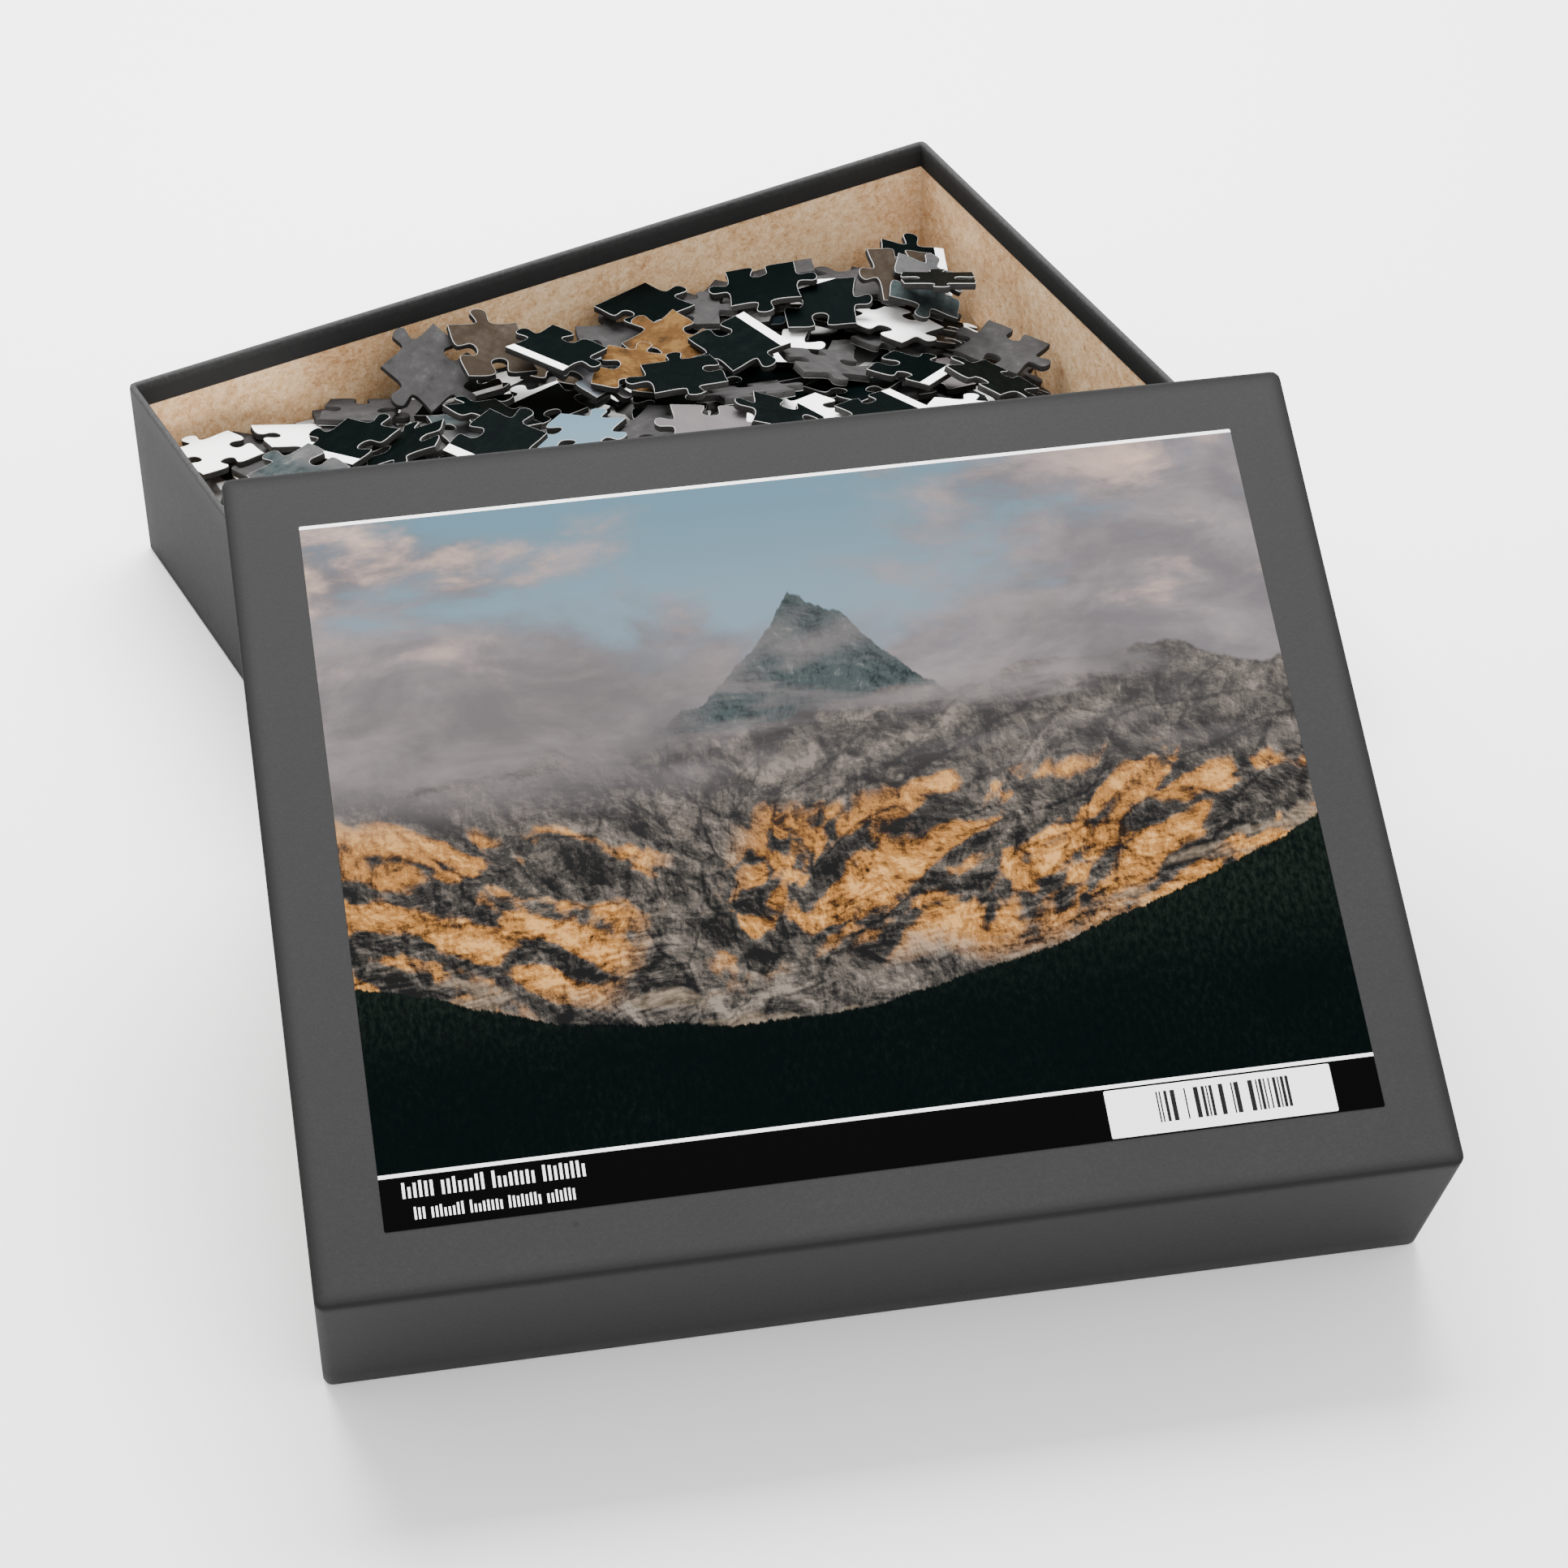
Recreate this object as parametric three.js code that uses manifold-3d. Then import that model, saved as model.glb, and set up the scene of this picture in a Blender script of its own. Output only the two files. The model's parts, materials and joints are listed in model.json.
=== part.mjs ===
// Boxed jigsaw puzzle: an open rigid box (tray) with a heap of loose jigsaw pieces in it. Its lid stands
// on its front edge beside the tray and leans back on the heap.
// Millimetres, +Z up. The origin is the centre of the tray's underside; X runs along the tray's long side.
import * as THREE from 'three';
import { mergeVertices } from 'three/addons/utils/BufferGeometryUtils.js';
import Module from 'manifold-3d';

const wasm = await Module();
wasm.setup();

// ---------------------------------------------------------------- driving dimensions
const TRAY = { length: 254, depth: 203.2, height: 57 };
const LID = { length: 259, depth: 208.2, height: 56 };
const BOARD = 1.5;            // greyboard thickness
const PAPER = 0.25;           // wrap paper thickness
const STAY = 0.1;             // paper tape folded round each upright corner, under the wrap
const STAY_LEG = 20;          // how far the corner tape reaches along each wall
const GLUE = 0.02;            // glue line between paper and what it is stuck to
const CORNER_R = 2.4;         // outside radius of the upright corners
const TRAY_TURN_IN = 8;       // wrap paper folded over the rim and down the inside
const LID_TURN_IN = 12;
const LID_CORNER = [-209.5, -207.4, 0];   // front left foot of the lid, where it stands on the table
const LID_YAW = -19.08;                   // degrees, lid front edge against the tray's front edge
const LID_TILT = 23.42;                   // degrees, lean of the lid's rim plane off the table
const LABEL = { left: 17, right: 243.5, front: 15.7, back: 193, thick: 0.12 };   // on the lid's top panel
const STICKER = { left: 180.5, right: 232.8, front: 16, back: 27.5, thick: 0.1 };

const PITCH = 20.3;           // one piece of a 508 x 406 mm puzzle cut 25 by 20
const PIECE_T = 1.9;          // piece thickness
const KNOB = 0.1;             // knob size as a share of the pitch
const WAVE = 0.035;           // how far cut lines wander, as a share of the pitch
const GAP = 0.4;              // clearance left under a settled piece
const HEAP_CELLS = [26, 21];  // facets of the heap's top
const HEAP_FLOOR_GAP = 0.02;  // between the heap and the tray's floor

const inner = { length: TRAY.length - 2 * (BOARD + PAPER), depth: TRAY.depth - 2 * (BOARD + PAPER) };
const rad = THREE.MathUtils.degToRad;

// ---------------------------------------------------------------- solids
function toSolid(geometry) {
  const bare = geometry.clone();
  bare.deleteAttribute('normal');
  bare.deleteAttribute('uv');
  const g = mergeVertices(bare, 1e-4);
  return new wasm.Manifold(new wasm.Mesh({
    numProp: 3, vertProperties: new Float32Array(g.attributes.position.array),
    triVerts: new Uint32Array(g.index.array),
  }));
}

function toGeometry(solid) {
  const mesh = solid.getMesh();
  const g = new THREE.BufferGeometry();
  g.setAttribute('position', new THREE.BufferAttribute(new Float32Array(mesh.vertProperties), 3));
  g.setIndex(new THREE.BufferAttribute(new Uint32Array(mesh.triVerts), 1));
  const flat = g.toNonIndexed();
  flat.computeVertexNormals();
  return flat;
}

function roundedPanel(x0, x1, y0, y1, z0, z1, r) {
  const s = new THREE.Shape();
  if (r > 0) {
    s.absarc(x1 - r, y0 + r, r, -Math.PI / 2, 0);
    s.absarc(x1 - r, y1 - r, r, 0, Math.PI / 2);
    s.absarc(x0 + r, y1 - r, r, Math.PI / 2, Math.PI);
    s.absarc(x0 + r, y0 + r, r, Math.PI, 1.5 * Math.PI);
  } else {
    s.moveTo(x0, y0).lineTo(x1, y0).lineTo(x1, y1).lineTo(x0, y1);
  }
  s.closePath();
  return new THREE.ExtrudeGeometry(s, { depth: z1 - z0, bevelEnabled: false, curveSegments: 4 })
    .translate(0, 0, z0);
}

// A strip of tape folded round one upright corner of a board; sx, sy pick the corner. `in0` and `out0` are
// how far its two faces stand off the board.
function cornerStay(box, sx, sy, z0, z1, in0, out0) {
  const cx = box.x[sx > 0 ? 1 : 0], cy = box.y[sy > 0 ? 1 : 0];
  const r = CORNER_R - PAPER;
  const s = new THREE.Shape();
  s.moveTo(-STAY_LEG, in0).lineTo(-r, in0);
  s.absarc(-r, -r, r + in0, Math.PI / 2, 0, true);
  s.lineTo(in0, -STAY_LEG).lineTo(out0, -STAY_LEG).lineTo(out0, -r);
  s.absarc(-r, -r, r + out0, 0, Math.PI / 2);
  s.lineTo(-STAY_LEG, out0).closePath();
  const g = new THREE.ExtrudeGeometry(s, { depth: z1 - z0, bevelEnabled: false, curveSegments: 4 });
  const turn = { '1,1': 0, '-1,1': 90, '-1,-1': 180, '1,-1': 270 }[`${sx},${sy}`];
  return g.rotateZ(rad(turn)).translate(cx, cy, z0);
}

// One half of a rigid box, open upward: board, corner tapes and the paper wrap that covers the outside,
// folds over the rim and ends in a strip down the inside.
function boxHalf(x0, x1, y0, y1, height, turnIn) {
  const p = PAPER, b = PAPER + BOARD, strip = b + PAPER, over = 1;
  const boardBox = { x: [x0 + p, x1 - p], y: [y0 + p, y1 - p] };
  const boardOf = (g) => toSolid(roundedPanel(x0 + p + g, x1 - p - g, y0 + p + g, y1 - p - g,
    p + g, height - p - g, CORNER_R - PAPER - g))
    .subtract(toSolid(roundedPanel(x0 + b - g, x1 - b + g, y0 + b - g, y1 - b + g, b, height + over, 0)));
  const corners = [[1, 1], [-1, 1], [-1, -1], [1, -1]];
  const stays = corners.map(([sx, sy]) => toSolid(cornerStay(boardBox, sx, sy, b, height - b, GLUE, STAY)));
  const stayBeds = corners.map(([sx, sy]) =>
    toSolid(cornerStay(boardBox, sx, sy, b - GLUE, height - b + GLUE, -GLUE, STAY + GLUE)));
  let wrap = toSolid(roundedPanel(x0, x1, y0, y1, 0, height, CORNER_R))
    .subtract(toSolid(roundedPanel(x0 + b, x1 - b, y0 + b, y1 - b, b, height - turnIn, 0)))
    .subtract(toSolid(roundedPanel(x0 + strip, x1 - strip, y0 + strip, y1 - strip, b, height + over, 0)))
    .subtract(boardOf(0));
  for (const bed of stayBeds) wrap = wrap.subtract(bed);
  return { board: boardOf(GLUE), stays, wrap };
}

// ---------------------------------------------------------------- jigsaw outlines
function randomFrom(seed) {
  let a = seed * 2654435761 >>> 0;
  return () => {
    a = (a + 0x6D2B79F5) >>> 0;
    let t = Math.imul(a ^ (a >>> 15), 1 | a);
    t = (t + Math.imul(t ^ (t >>> 7), 61 | t)) ^ t;
    return ((t ^ (t >>> 14)) >>> 0) / 4294967296;
  };
}

// Cut line from one corner to the next: T is a knob outward, B a hollow inward, S a straight border edge.
function sideCurve(from, to, kind, rnd) {
  if (kind === 'S') return [from];
  const along = to.clone().sub(from);
  const out = new THREE.Vector2(along.y, -along.x).multiplyScalar(kind === 'T' ? 1 : -1);
  const w = () => (rnd() * 2 - 1) * WAVE;
  const [a, b, c, d, e] = [w(), w(), w(), w(), w()];
  const t = KNOB * (0.94 + 0.14 * rnd());
  const at = (u, v) => from.clone().addScaledVector(along, u).addScaledVector(out, v);
  const neckIn = at(0.5 - t + b, t + c), neckOut = at(0.5 + t + b, t + c);
  const curves = [
    [new THREE.CubicBezierCurve(from, at(0.2, a), at(0.5 + b + d, -t + c), neckIn), 4],
    [new THREE.CubicBezierCurve(neckIn, at(0.5 - 2 * t + b - d, 3 * t + c),
      at(0.5 + 2 * t + b - d, 3 * t + c), neckOut), 6],
    [new THREE.CubicBezierCurve(neckOut, at(0.5 + b + d, -t + c), at(0.8, e), to), 4],
  ];
  return curves.flatMap(([curve, n]) => curve.getPoints(n).slice(0, n));
}

// Counter-clockwise outline centred on the piece. sides: front, right, back, left.
function pieceOutline(sides, seed) {
  const rnd = randomFrom(seed);
  const h = PITCH / 2, shift = () => (rnd() * 2 - 1) * 0.05 * PITCH;
  const corners = [[-h, -h], [h, -h], [h, h], [-h, h]].map(([x, y]) => new THREE.Vector2(x, y));
  [...sides].forEach((kind, i) => {
    const [p, q] = [corners[i], corners[(i + 1) % 4]];
    const acrossX = i % 2 === 0;                // a border edge keeps both its corners on one line
    for (const c of [p, q]) {
      if (kind !== 'S') c[acrossX ? 'x' : 'y'] += shift() * 0.5;
    }
  });
  return corners.flatMap((c, i) => sideCurve(c, corners[(i + 1) % 4], sides[i], rnd));
}

// ---------------------------------------------------------------- the heap's shape
// The pile is highest where the lid's back wall comes down on it and falls away to the far and right walls.
const lidAcross = [Math.sin(rad(-LID_YAW)), Math.cos(rad(LID_YAW))];
const lidBackFoot = [-147.2, -27.3];

function heapTop(x, y) {
  const s = (x - lidBackFoot[0]) * lidAcross[0] + (y - lidBackFoot[1]) * lidAcross[1];
  let z = 77 - 0.43 * s + 0.0009 * s * s;
  if (x > 85) z -= 16 * ((x - 85) / 38) ** 1.5;
  const toWall = Math.max(0, Math.min(x + inner.length / 2, y + inner.depth / 2));
  return Math.min(z, 50 + 0.75 * toWall, 77);
}

function heapGeometry() {
  const edge = PAPER + 0.35, floor = BOARD + PAPER + HEAP_FLOOR_GAP;
  const [nx, ny] = HEAP_CELLS;
  const g = new THREE.BoxGeometry(inner.length - 2 * edge, inner.depth - 2 * edge, 1, nx, ny, 1);
  const pos = g.attributes.position;
  for (let i = 0; i < pos.count; i += 1) {
    pos.setZ(i, pos.getZ(i) > 0 ? heapTop(pos.getX(i), pos.getY(i)) : floor);
  }
  return g;
}

// ---------------------------------------------------------------- letting pieces settle on the heap
const CELL = 1;
const TIP = 0.09;             // step in slope tried while a piece tips to rest
const field = {
  nx: Math.ceil(inner.length / CELL), ny: Math.ceil(inner.depth / CELL),
  index(x, y) {
    const i = Math.floor((x + inner.length / 2) / CELL), j = Math.floor((y + inner.depth / 2) / CELL);
    return i < 0 || j < 0 || i >= this.nx || j >= this.ny ? -1 : j * this.nx + i;
  },
  centre(k) {
    const column = k % this.nx, row = Math.floor(k / this.nx);
    return [(column + 0.5) * CELL - inner.length / 2, (row + 0.5) * CELL - inner.depth / 2];
  },
};
field.top = Float64Array.from({ length: field.nx * field.ny }, (_, k) => heapTop(...field.centre(k)) + GAP);

// Cells under an outline whose points are already in the heap's plan.
function cellsUnder(points) {
  const cells = new Set();
  const xs = points.map((p) => p[0]), ys = points.map((p) => p[1]);
  for (let y = Math.min(...ys); y <= Math.max(...ys) + CELL; y += CELL) {
    for (let x = Math.min(...xs); x <= Math.max(...xs) + CELL; x += CELL) {
      let inside = false;
      for (let i = 0, j = points.length - 1; i < points.length; j = i, i += 1) {
        const [ax, ay] = points[i], [bx, by] = points[j];
        if ((ay > y) !== (by > y) && x < ((bx - ax) * (y - ay)) / (by - ay) + ax) inside = !inside;
      }
      if (inside) cells.add(field.index(x, y));
    }
  }
  points.forEach(([ax, ay], i) => {
    const [bx, by] = points[(i + 1) % points.length];
    const n = Math.ceil(Math.hypot(bx - ax, by - ay) / 0.4);
    for (let s = 0; s < n; s += 1) {
      const x = ax + ((bx - ax) * s) / n, y = ay + ((by - ay) * s) / n;
      for (const [dx, dy] of [[0, 0], [0.7, 0], [-0.7, 0], [0, 0.7], [0, -0.7]]) {
        cells.add(field.index(x + dx, y + dy));
      }
    }
  });
  cells.delete(-1);
  return [...cells];
}

// Slope of a height over the plan, as rise per mm along X and along Y, fitted over a disc round (x, y).
function slopeOf(height, x, y, reach) {
  const samples = [];
  for (let dx = -reach; dx <= reach; dx += 2) {
    for (let dy = -reach; dy <= reach; dy += 2) {
      const k = field.index(x + dx, y + dy);
      if (k >= 0 && dx * dx + dy * dy <= reach * reach) samples.push([dx, dy, height(k)]);
    }
  }
  const mean = (pick) => samples.reduce((sum, s) => sum + pick(s), 0) / samples.length;
  const mx = mean((s) => s[0]), my = mean((s) => s[1]), mz = mean((s) => s[2]);
  return [
    mean((s) => (s[0] - mx) * (s[2] - mz)) / mean((s) => (s[0] - mx) ** 2),
    mean((s) => (s[1] - my) * (s[2] - mz)) / mean((s) => (s[1] - my) ** 2),
  ];
}

// A piece turned by `turn` degrees on a plane rising a and b per mm along X and Y, lowered until it touches.
function restOn(outline, [x, y], turn, a, b) {
  const normal = new THREE.Vector3(-a, -b, 1).normalize();
  const ex = new THREE.Vector3(Math.cos(rad(turn)), Math.sin(rad(turn)), 0);
  ex.addScaledVector(normal, -ex.dot(normal)).normalize();
  const ey = normal.clone().cross(ex);
  const pose = new THREE.Matrix4().makeBasis(ex, ey, normal).setPosition(x, y, 0);
  const plan = (z) => outline.map((p) => {
    const v = new THREE.Vector3(p.x, p.y, z).applyMatrix4(pose);
    return [v.x, v.y];
  });
  let z = -Infinity;
  const planes = cellsUnder(plan(0)).concat(cellsUnder(plan(PIECE_T))).map((k) => {
    const [cx, cy] = field.centre(k);
    const rise = a * (cx - x) + b * (cy - y);
    z = Math.max(z, field.top[k] + GAP - rise);
    return [k, rise];
  });
  return { pose, planes, z, over: PIECE_T / normal.z };
}

// Rest pose of a piece: it lies on the pile's slope, plus a lean given as rise per mm, and tips to the nearby
// slope at which its middle comes down lowest.
function settle(outline, { at, turn, lean = [0, 0] }) {
  const [sx, sy] = slopeOf((k) => heapTop(...field.centre(k)), ...at, 11).map((s, i) => s + lean[i]);
  const reach = lean.some((l) => l !== 0) ? 1 : 3;
  let best = null;
  for (let i = -reach; i <= reach; i += 1) {
    for (let j = -reach; j <= reach; j += 1) {
      const rest = restOn(outline, at, turn, sx + i * TIP, sy + j * TIP);
      if (!best || rest.z < best.z) best = rest;
    }
  }
  for (const [k, rise] of best.planes) field.top[k] = Math.max(field.top[k], best.z + rise + best.over);
  return best.pose.setPosition(...at, best.z);
}

// ---------------------------------------------------------------- finishes
const finish = (color, roughness = 0.8) => new THREE.MeshStandardMaterial({ color, roughness, metalness: 0 });
const FINISH = {
  wrap: [0x4b4b4b, 0.75], kraft: [0xc39c77, 0.95], tape: [0xb08a60, 0.9], label: [0x6d6864, 0.5],
  sticker: [0xf2f2f2, 0.5], heap: [0x3a3a3a, 0.85], forest: [0x04100f, 0.5], back: [0x565455, 0.9],
  white: [0xeeeeee, 0.55], sky: [0x8b9aa5, 0.5], cloud: [0xa99b9a, 0.5], rock: [0x5e5344, 0.5],
  sunlit: [0x9a6430, 0.5], teal: [0x1f3436, 0.5],
};

// ---------------------------------------------------------------- the loose pieces on top of the heap
// Listed from the lowest to the topmost. A border piece has its straight edge on the right before turning.
const PIECES = [
  { name: 'white_far_low', look: 'white', at: [88, 50], turn: 20, sides: 'TBTB', seed: 11 },
  { name: 'white_mid', look: 'white', at: [50, 56], turn: -35, sides: 'BTBT', seed: 12 },
  { name: 'white_front', look: 'white', at: [38, 10], turn: 12, sides: 'TBTT', seed: 13 },
  { name: 'white_right', look: 'white', at: [73, -14], turn: 48, sides: 'TTBB', seed: 14 },
  { name: 'white_centre', look: 'white', at: [12, 14], turn: -20, sides: 'BTBB', seed: 15 },
  { name: 'back_far_right', look: 'back', at: [90, 76], turn: 15, sides: 'TBTB', seed: 16 },
  { name: 'back_far_middle', look: 'back', at: [69, 84], turn: -25, sides: 'TBBT', seed: 17 },
  { name: 'back_far_knob', look: 'back', at: [50, 83], turn: 28, sides: 'TTTB', seed: 18 },
  { name: 'back_upper_left', look: 'back', at: [12, 78], turn: -15, lean: [0, 0.25],
    sides: 'BTTB', seed: 19 },
  { name: 'back_low_front', look: 'back', at: [-3, 21], turn: 33, sides: 'TBTB', seed: 20 },
  { name: 'back_low_middle', look: 'back', at: [29, 27], turn: -12, sides: 'BTBT', seed: 21 },
  { name: 'back_leaning_far', look: 'back', at: [-45, 80], turn: 22, lean: [0, 0.75],
    sides: 'TBTT', seed: 22 },
  { name: 'rock_brown', look: 'rock', at: [-28, 76], turn: -10, lean: [0, 0.3], sides: 'BTTB', seed: 23 },
  { name: 'sky_upper', look: 'sky', at: [-7, 58], turn: 24, sides: 'TBTB', seed: 24 },
  { name: 'sky_large', look: 'sky', at: [-24, 30], turn: 40, sides: 'TTBB', seed: 25 },
  { name: 'cloud_pink', look: 'cloud', at: [5, 8], turn: -28, sides: 'BTBT', seed: 26 },
  { name: 'back_knob_far', look: 'back', at: [36, 80], turn: 58, sides: 'TBTB', seed: 27 },
  { name: 'back_centre', look: 'back', at: [55, 33], turn: -8, sides: 'TBBB', seed: 28 },
  { name: 'border_far_edge', look: 'forest', at: [24, 84], turn: 105, sides: 'TSBT', seed: 29 },
  { name: 'rock_sunlit', look: 'sunlit', at: [21, 60], turn: 18, sides: 'TBTB', seed: 30 },
  { name: 'rock_sunlit_low', look: 'sunlit', at: [3, 49], turn: -40, sides: 'BTTB', seed: 31 },
  { name: 'forest_long', look: 'forest', at: [71, 63], turn: -28, sides: 'BTSB', seed: 32 },
  { name: 'forest_far', look: 'forest', at: [59, 76], turn: -22, lean: [0, 0.1], sides: 'TTBT', seed: 33 },
  { name: 'border_right_far', look: 'forest', at: [106.5, 71], turn: -24, lean: [0.4, 0.45],
    sides: 'TSTB', seed: 34 },
  { name: 'rock_olive', look: 'rock', at: [98.5, 62], turn: -15, lean: [0.3, 0.35], sides: 'BTBT', seed: 35 },
  { name: 'forest_teal', look: 'teal', at: [101, 54.5], turn: -38, lean: [0.35, 0.3],
    sides: 'TBTB', seed: 36 },
  { name: 'back_right_wall', look: 'back', at: [109, 25], turn: 30, lean: [0.55, 0.1],
    sides: 'TBTB', seed: 37 },
  { name: 'forest_steep', look: 'forest', at: [98, 43], turn: -30, lean: [0.1, -0.35],
    sides: 'TBTB', seed: 38 },
  { name: 'border_middle', look: 'forest', at: [36, 48], turn: 10, sides: 'TSBT', seed: 39 },
  { name: 'forest_middle', look: 'forest', at: [11, 34], turn: -14, lean: [0.1, 0], sides: 'TBTT', seed: 40 },
  { name: 'border_diagonal', look: 'forest', at: [75, 18], turn: -55, sides: 'BSTB', seed: 41 },
  { name: 'forest_right', look: 'forest', at: [92, 3], turn: 20, sides: 'TBTB', seed: 42 },
  { name: 'border_front', look: 'forest', at: [54, -3], turn: 8, lean: [-0.1, 0.1], sides: 'TSBT', seed: 43 },
  { name: 'forest_front', look: 'forest', at: [26, 2], turn: -30, sides: 'TBBT', seed: 44 },
  { name: 'forest_left_mid', look: 'forest', at: [-40, 52], turn: 14, sides: 'BTTB', seed: 45 },
  { name: 'border_left_upper', look: 'forest', at: [-14, 63], turn: 205, lean: [-0.1, 0],
    sides: 'TSTB', seed: 46 },
  { name: 'border_left_mid', look: 'forest', at: [-48, 31], turn: 205, sides: 'BSTT', seed: 47 },
  { name: 'forest_left', look: 'forest', at: [-68, 46], turn: -32, sides: 'TBTB', seed: 48 },
  { name: 'border_left_low', look: 'forest', at: [-80, 57], turn: 205, lean: [0.1, 0.1],
    sides: 'TSBT', seed: 49 },
  { name: 'teal_left', look: 'teal', at: [-99, 48], turn: 12, sides: 'TBTB', seed: 50 },
  { name: 'border_left_corner', look: 'forest', at: [-109, 30], turn: 65, sides: 'BSTB', seed: 51 },
  { name: 'ridge_left', look: 'back', at: [-92, -27], turn: 35, sides: 'TBTB', seed: 52 },
  { name: 'ridge_middle', look: 'forest', at: [-30, -30], turn: -25, sides: 'TBTT', seed: 53 },
  { name: 'ridge_right', look: 'white', at: [40, -48], turn: 50, sides: 'BTBT', seed: 54 },
];

// ---------------------------------------------------------------- assembly
const puzzle = new THREE.Group();
puzzle.name = 'boxed_jigsaw_puzzle';

function add(name, geometry, look) {
  const mesh = new THREE.Mesh(geometry, finish(...FINISH[look]));
  mesh.name = name;
  puzzle.add(mesh);
}

const STAY_NAMES = ['back_right', 'back_left', 'front_left', 'front_right'];

const tray = boxHalf(-TRAY.length / 2, TRAY.length / 2, -TRAY.depth / 2, TRAY.depth / 2,
  TRAY.height, TRAY_TURN_IN);
add('tray_board', toGeometry(tray.board), 'kraft');
tray.stays.forEach((stay, i) => add(`tray_corner_tape_${STAY_NAMES[i]}`, toGeometry(stay), 'tape'));
add('tray_wrap', toGeometry(tray.wrap), 'wrap');

// The lid is the same kind of box half turned over, then stood on its front rim and leaned back.
const lidPose = new THREE.Matrix4().makeTranslation(...LID_CORNER)
  .multiply(new THREE.Matrix4().makeRotationZ(rad(LID_YAW)))
  .multiply(new THREE.Matrix4().makeRotationX(rad(LID_TILT)));
const overturn = new THREE.Matrix4().makeTranslation(0, LID.depth, LID.height)
  .multiply(new THREE.Matrix4().makeRotationX(Math.PI));
const placed = (geometry, ...matrices) => {
  matrices.forEach((m) => geometry.applyMatrix4(m));
  return geometry;
};
const lid = boxHalf(0, LID.length, 0, LID.depth, LID.height, LID_TURN_IN);
add('lid_board', placed(toGeometry(lid.board), overturn, lidPose), 'kraft');
lid.stays.forEach((stay, i) => {
  add(`lid_corner_tape_${STAY_NAMES[3 - i]}`, placed(toGeometry(stay), overturn, lidPose), 'tape');
});
add('lid_wrap', placed(toGeometry(lid.wrap), overturn, lidPose), 'wrap');

const labelTop = LID.height + GLUE + LABEL.thick;
add('lid_label', placed(roundedPanel(LABEL.left, LABEL.right, LABEL.front, LABEL.back,
  LID.height + GLUE, labelTop, 0), lidPose), 'label');
add('lid_code_sticker', placed(roundedPanel(STICKER.left, STICKER.right, STICKER.front, STICKER.back,
  labelTop + GLUE, labelTop + GLUE + STICKER.thick, 0), lidPose), 'sticker');

add('loose_piece_heap', toGeometry(toSolid(heapGeometry())), 'heap');

for (const piece of PIECES) {
  const outline = pieceOutline(piece.sides, piece.seed);
  const flat = new THREE.ExtrudeGeometry(new THREE.Shape(outline), { depth: PIECE_T, bevelEnabled: false });
  add(`piece_${piece.name}`, placed(flat, settle(outline, piece)), piece.look);
}

export default puzzle;
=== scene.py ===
"""Looks for the boxed jigsaw puzzle: rigid box with paper folds, printed label, die-cut pieces and a heap."""

import json
import math

import bmesh
import bpy
import numpy as np
from mathutils import Matrix, Vector

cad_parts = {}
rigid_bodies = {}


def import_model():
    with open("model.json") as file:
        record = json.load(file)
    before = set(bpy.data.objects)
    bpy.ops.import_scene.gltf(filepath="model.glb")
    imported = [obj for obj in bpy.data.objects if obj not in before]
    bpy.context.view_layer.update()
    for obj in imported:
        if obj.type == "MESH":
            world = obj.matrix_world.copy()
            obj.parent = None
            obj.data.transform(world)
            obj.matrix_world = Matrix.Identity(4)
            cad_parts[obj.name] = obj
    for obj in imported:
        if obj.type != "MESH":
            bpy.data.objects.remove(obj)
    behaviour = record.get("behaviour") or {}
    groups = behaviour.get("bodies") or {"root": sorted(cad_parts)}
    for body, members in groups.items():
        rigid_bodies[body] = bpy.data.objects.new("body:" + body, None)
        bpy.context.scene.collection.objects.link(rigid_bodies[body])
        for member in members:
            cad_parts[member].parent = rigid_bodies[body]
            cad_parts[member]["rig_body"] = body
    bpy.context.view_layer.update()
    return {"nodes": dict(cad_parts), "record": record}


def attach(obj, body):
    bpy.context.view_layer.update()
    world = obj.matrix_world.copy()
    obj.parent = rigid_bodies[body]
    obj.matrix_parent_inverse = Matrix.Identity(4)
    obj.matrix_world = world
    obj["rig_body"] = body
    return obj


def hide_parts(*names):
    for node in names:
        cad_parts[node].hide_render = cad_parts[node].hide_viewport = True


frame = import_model()
NODES = frame["nodes"]

# ---- sizes in mm, as the CAD has them
MM = 0.001
TRAY = (254, 203.2, 57)
LID = (259, 208.2, 56)
BOARD, PAPER, GLUE = 1.5, 0.25, 0.02
CORNER_R = 2.4
TRAY_TURN_IN, LID_TURN_IN = 8, 12
LID_CORNER = (-209.5, -207.4, 0)
LID_YAW, LID_TILT = -19.08, 23.42
LABEL = (17, 243.5, 15.7, 193, 0.12)          # left, right, front, back, thickness
STICKER = (180.5, 232.8, 16, 27.5, 0.1)
PITCH, PIECE_T, KNOB, WAVE = 20.3, 1.9, 0.1, 0.035
INNER = (TRAY[0] - 2 * (BOARD + PAPER), TRAY[1] - 2 * (BOARD + PAPER))


# ---- camera
def make_camera():
    data = bpy.data.cameras.new("camera")
    data.sensor_width = 36
    data.lens = 95.863
    cam = bpy.data.objects.new("camera", data)
    bpy.context.scene.collection.objects.link(cam)
    forward = np.array([0.35622039, 0.65702185, -0.66440148])
    right = np.array([0.87760443, -0.47937259, -0.00351847])
    up = np.cross(right, forward)
    m = np.eye(4)
    m[:3, 0], m[:3, 1], m[:3, 2] = right, up, -forward
    m[:3, 3] = (-0.413616, -0.806516, 0.739029)
    cam.matrix_world = Matrix(m.tolist())
    data.clip_start, data.clip_end = 0.05, 20
    data.dof.use_dof = False
    bpy.context.scene.camera = cam


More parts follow.
